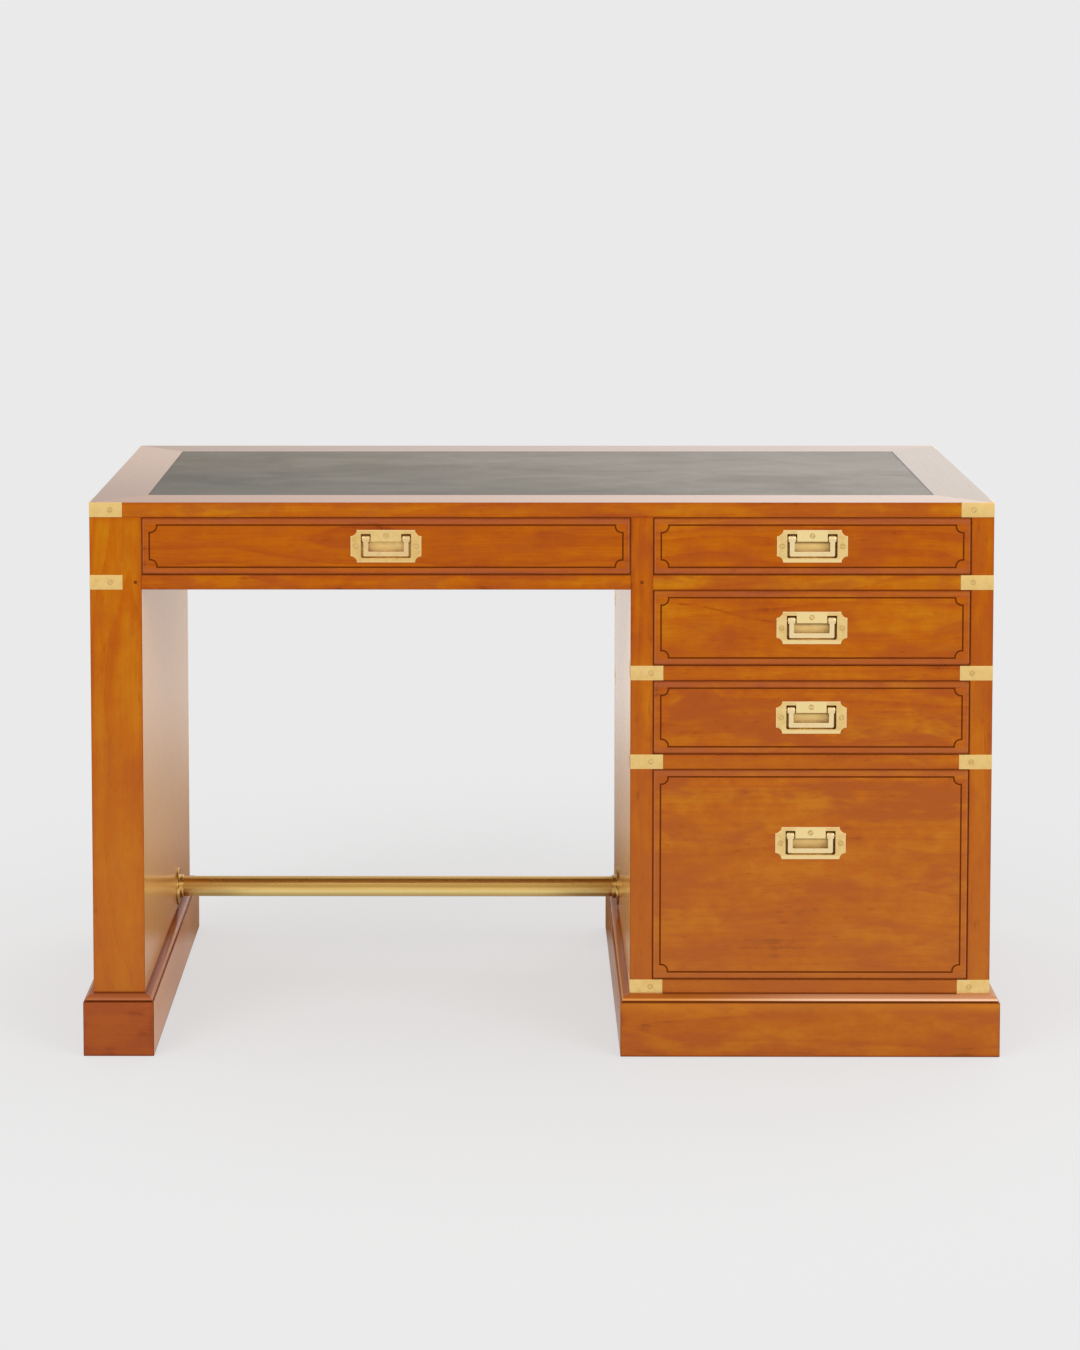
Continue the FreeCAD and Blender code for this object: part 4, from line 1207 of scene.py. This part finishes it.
def plinth_path(low, high, inward, side):
    """Way of one section point along one side of a rounded rectangle, from mitre to mitre."""
    radius = max(corner_round - inward, least_round)
    size = (high - low) / 2 - inward
    along, out = size[::-1] if side % 2 else size
    corner = arc((along - radius, out - radius), radius, 0.5, 1, mitre_steps)
    start = corner * np.array([-1, 1])
    run = np.concatenate([start, line((radius - along, out), (along - radius, out), 3)[1:], corner[::-1]])
    spin = side * math.pi / 2
    turned_run = run @ np.array([[math.cos(spin), -math.sin(spin)], [math.sin(spin), math.cos(spin)]])
    return turned_run + (low + high) / 2


def plinth(node, seed, sheen_colour, **looks):
    """Four mitred boards, each the section carried along one side of the plinth."""
    low, high = box(node)
    for side, word in enumerate(("rear", "right", "front", "left")):
        columns = []
        for inward, height in plinth_section():
            flat = plinth_path(low[:2], high[:2], inward, side)
            columns.append(np.column_stack([flat, np.full(len(flat), height)]))
        rings = np.stack(columns, 1)
        points = rings.reshape(-1, 3)
        own = looks | {"painted_moulding": True}
        if side % 2:
            # Painted reflection at a flat angle on the side boards of the plinth
            own |= {"washed": sheen_colour, "side": right_side if word == "right" else left_side}
        material = lacquered_wood(node + "_" + word + "_finish", points.min(0), points.max(0),
                                  "y" if side % 2 else "x", seed + side, **own)
        piece(node + "_" + word, [solid(rings)], "desk", material, node)


# Foot rail

def flange_profile(radius, wide):
    """Profile of a flange as radius and height: its plate, the cove to its collar and the collar's end."""
    lip = flange_lip
    bore = radius + flange_clearance
    rim = arc((wide - lip, flange_thickness - lip), lip, 0, 1, lip_steps)
    cove = arc((collar_radius + 2 * lip, flange_thickness + 2 * lip), 2 * lip, 3, 2, lip_steps)
    end = arc((collar_radius - lip, collar_length - lip), lip, 0, 1, lip_steps)
    return np.concatenate([[(bore, 0), (wide, 0)], rim, cove, end, [(bore, collar_length - lip / 2)]])


def foot_rail(material):
    """Tube with rounded flanges and their screws."""
    low, high = box("foot_rail_tube")
    radius = (high[2] - low[2]) / 2
    middle = (low + high) / 2
    length = high[0] - low[0]
    tube = turned([(radius - tube_wall, 0), (radius, 0), (radius, length), (radius - tube_wall, length)])
    rings = set_at(tube, (low[0], middle[1], middle[2]), *to_side(-1))
    piece("foot_rail_bar", [solid(rings, closed=True)], "desk", material, "foot_rail_tube")
    flange_low, flange_high = box("foot_rail_flanges")
    wide = (flange_high[2] - flange_low[2]) / 2
    reach = wide * flange_screw_share
    outwards = turned(flange_profile(radius, wide)) * np.array([1, 1, -1])
    flanges, heads = [], []
    for x, way in ((low[0], 1), (high[0], -1)):
        place = np.array([x, middle[1], middle[2]])
        flanges.append(solid(set_at(outwards, place, *to_side(way)), closed=True))
        for number in range(flange_screws):
            angle = 2 * math.pi * number / flange_screws + math.pi / 2
            off = (way * flange_thickness, reach * math.cos(angle), reach * math.sin(angle))
            heads += screw(place + off, (way, 0, 0), slot_turn * number)
    piece("foot_rail_flange_pair", flanges, "desk", material, "foot_rail_flanges")
    piece("foot_rail_screw_heads", heads, "desk", material, "foot_rail_screws")


# Stage, light and camera

background = (0.823, 0.823, 0.823)
floor_reach = 40.0
floor_level = -0.5 * mm


def studio_world():
    """Pale surround, brighter behind the desk on its right; the camera sees the plain background."""
    world = bpy.data.worlds.new("studio")
    bpy.context.scene.world = world
    world.use_nodes = True
    wires = Wires(world.node_tree)
    x, y = wires.split(wires.add("TexCoord", "Generated", {}))[:2]
    level = wires.times(wires.fade(x, -0.9, 0.9, 0.78, 0.92), wires.fade(y, 0.2, 0.7, 1.0, 0.80))
    to_right = wires.math("DIVIDE", x, wires.most(y, 0.05))
    window = wires.fade(to_right, -0.19, 0.20, 0.0, 0.74)
    level = wires.scaled(window, wires.fade(y, 0.3, 0.8), level)
    seen = wires.add("LightPath", "Is Camera Ray", {})
    level = wires.mix(seen, wires.join(level, level, level), background)
    wires.put(world.node_tree.nodes["Background"], {"Color": level})


def floor():
    """Pale floor that fades into the background away from the desk.

    In mirrored rays it is dark and brown behind the desk and beside the plinths, a darker floor with painted
    shade, as the lacquer shows it.
    """
    finish = Finish("pale_floor")
    wires, x, y = finish.wires, finish.x, finish.y
    wires.put(finish.shader, {"Base Color": (0.80, 0.80, 0.80), "Roughness": 0.9, "Specular IOR Level": 0.0})
    rays = wires.add("LightPath", "Is Camera Ray", {}).node.outputs
    seen = wires.most(rays["Is Camera Ray"], rays["Is Glossy Ray"])
    distance = wires.measure("LENGTH", finish.point)
    low, high = box("foot_rail_tube")
    half = (high[0] - low[0]) / 2
    aside = wires.apart(x, (low[0] + high[0]) / 2)
    beside = wires.times(wires.fade(aside, half - 0.11, half - 0.05), wires.fade(y, -0.34, 0.05, 0.0, 0.55))
    near = wires.times(wires.fade(distance, 2.3, 0.4), wires.most(beside, wires.fade(y, 0.12, 0.32)))
    mirrored_dark = wires.times(near, rays["Is Glossy Ray"])
    mirrored_brown = (0.200, 0.110, 0.055)
    glow = wires.add("Emission", 0, {"Color": wires.mix(mirrored_dark, background, mirrored_brown)})
    share = wires.most(wires.times(wires.fade(distance, 0.6, 1.6, 0.70, 1.0), seen), mirrored_dark)
    surface = wires.add("MixShader", 0, {0: share, 1: finish.shader.outputs[0], 2: glow})
    wires.tree.links.new(surface, finish.material.node_tree.nodes["Material Output"].inputs["Surface"])
    ways = ((-1, -1), (1, -1), (1, 1), (-1, 1))
    corners = [(across * floor_reach, along * floor_reach, floor_level) for across, along in ways]
    mesh = bpy.data.meshes.new("floor")
    mesh.from_pydata(corners, [], [(0, 1, 2, 3)])
    mesh.materials.append(finish.material)
    plane = bpy.data.objects.new("floor", mesh)
    bpy.context.scene.collection.objects.link(plane)


def lamp(name, place, target, size, power):
    """Round soft lamp at a place, turned to a target."""
    light = bpy.data.lights.new(name, "AREA")
    light.shape = "DISK"
    light.size = size
    light.energy = power
    made = bpy.data.objects.new(name, light)
    bpy.context.scene.collection.objects.link(made)
    made.location = place
    way = np.asarray(target, float) - np.asarray(place, float)
    flat = math.hypot(way[0], way[1])
    made.rotation_euler = (math.atan2(flat, -way[2]), 0, math.atan2(way[1], way[0]) - math.pi / 2)


def camera():
    """Camera that was worked out from the edges of the desk in a frame of 1080 by 1350.

    It looks down a little and shows the desk below its optical centre, with a shifted lens.
    """
    frame_height = 1350
    frame_middle = (540, 675)
    focal_pixels = 3134.1
    optical_centre = (484.3, 271.4)
    place = (-0.0492, -4.5081, 1.3721)
    down, roll, to_left = (math.radians(degrees) for degrees in (4.067, 0.045, 0.374))
    data = bpy.data.cameras.new("camera")
    data.sensor_width = 36.0
    data.lens = focal_pixels * data.sensor_width / frame_height
    data.shift_x = (frame_middle[0] - optical_centre[0]) / frame_height
    data.shift_y = (optical_centre[1] - frame_middle[1]) / frame_height
    data.clip_start = 0.1
    data.clip_end = 200.0
    made = bpy.data.objects.new("camera", data)
    bpy.context.scene.collection.objects.link(made)
    made.location = place
    made.rotation_euler = (math.pi / 2 - down, roll, to_left)
    bpy.context.scene.camera = made


board_grain()
board_edge()
hand_polish()
finish_boards()
dress("leather_inset", green_leather(*box("leather_inset")))

rail_low, rail_high = box("foot_rail_tube")
rail_bar = ((rail_low[2] + rail_high[2]) / 2, (rail_high[2] - rail_low[2]) / 2)
rail_brass = satin_brass("aged_brass", (0.95, 0.61, 0.19), (0.82, 0.50, 0.15), smooth=0.20, rough=0.30,
                         drawn=12.0, bar=rail_bar)
screw_brass = satin_brass("screw_brass", (0.78, 0.54, 0.21), (0.58, 0.37, 0.12), smooth=0.30, rough=0.45)
strap_brass = satin_brass("strap_brass", (0.94, 0.66, 0.255), (0.82, 0.53, 0.17), smooth=0.26, rough=0.38)
# Dark colour of the rings of painted shade round the screw heads
ring_shade_finish = stained_wood("screw_ring_shade", (0.340, 0.210, 0.068), (0.480, 0.320, 0.115))
peg = stained_wood("dark_peg", (0.120, 0.030, 0.004), (0.210, 0.055, 0.007))
string = stained_wood("dark_string", (0.095, 0.0170, 0.0015), (0.165, 0.0310, 0.0025))
# Dark colour of the strips of painted shade in the gaps round the drawer fronts
gap_shade_stain = stained_wood("gap_shade_stain", (0.240, 0.048, 0.004), (0.380, 0.082, 0.007))

# Bright and deep brass of a casting and of its bail, and the shares lit and gap of its recess: of its painted
# highlight, and of its patina and painted shade.
# All bails have one pair of shares.
kneehole_tones = ((0.92, 0.62, 0.23), (0.70, 0.44, 0.13), (0.94, 0.68, 0.33), (0.80, 0.55, 0.24), 0.25, 0.15)
pedestal_tones = ((0.96, 0.69, 0.29), (0.76, 0.50, 0.17), (1.00, 0.79, 0.44), (0.90, 0.67, 0.33), 0.80, 0.75)
bail_shares = (0.80, 0.75)
for stem in drawers:
    drawer_string(stem, string)
    gap_shade_strip(stem, gap_shade_stain)
    tones = kneehole_tones if stem == "kneehole" else pedestal_tones
    bright, deep, bail_bright, bail_deep, lit, gap = tones
    centre = handle_place(stem)[0]
    brass = satin_brass(stem + "_brass", bright, deep, smooth=0.26, rough=0.40,
                        recess=(centre, lit, gap), casting=box(stem + "_handle_plate"))
    handle_casting(stem, brass)
    bail_brass = satin_brass(stem + "_bail_brass", bail_bright, bail_deep, smooth=0.24, rough=0.36,
                             recess=(centre, *bail_shares))
    bail_pull(stem, bail_brass)
    handle_fixings(stem, screw_brass, ring_shade_finish)
corner_straps(strap_brass, screw_brass, ring_shade_finish)
dress("frame_pegs", peg)
plinth("left_leg_plinth", seed=61, sheen_colour=leg_plinth_sheen, ior=1.12, depth=0.22, figure=1.4,
       dulled=0.66, bloomed=leg_low_tint, flecks=0.06)
plinth("pedestal_plinth", seed=71, sheen_colour=plinth_sheen, ior=1.12, depth=0.02, figure=1.6,
       dulled=0.50, flecks=0.10, rings=0.34)
foot_rail(rail_brass)

studio_world()
floor()
lamp("key", place=(-2.6, -3.4, 3.2), target=(0, 0, 0.5), size=2.4, power=60)
lamp("fill", place=(3.0, -3.0, 2.4), target=(0, 0, 0.4), size=2.4, power=45)
camera()
bpy.context.scene.view_settings.view_transform = "Standard"
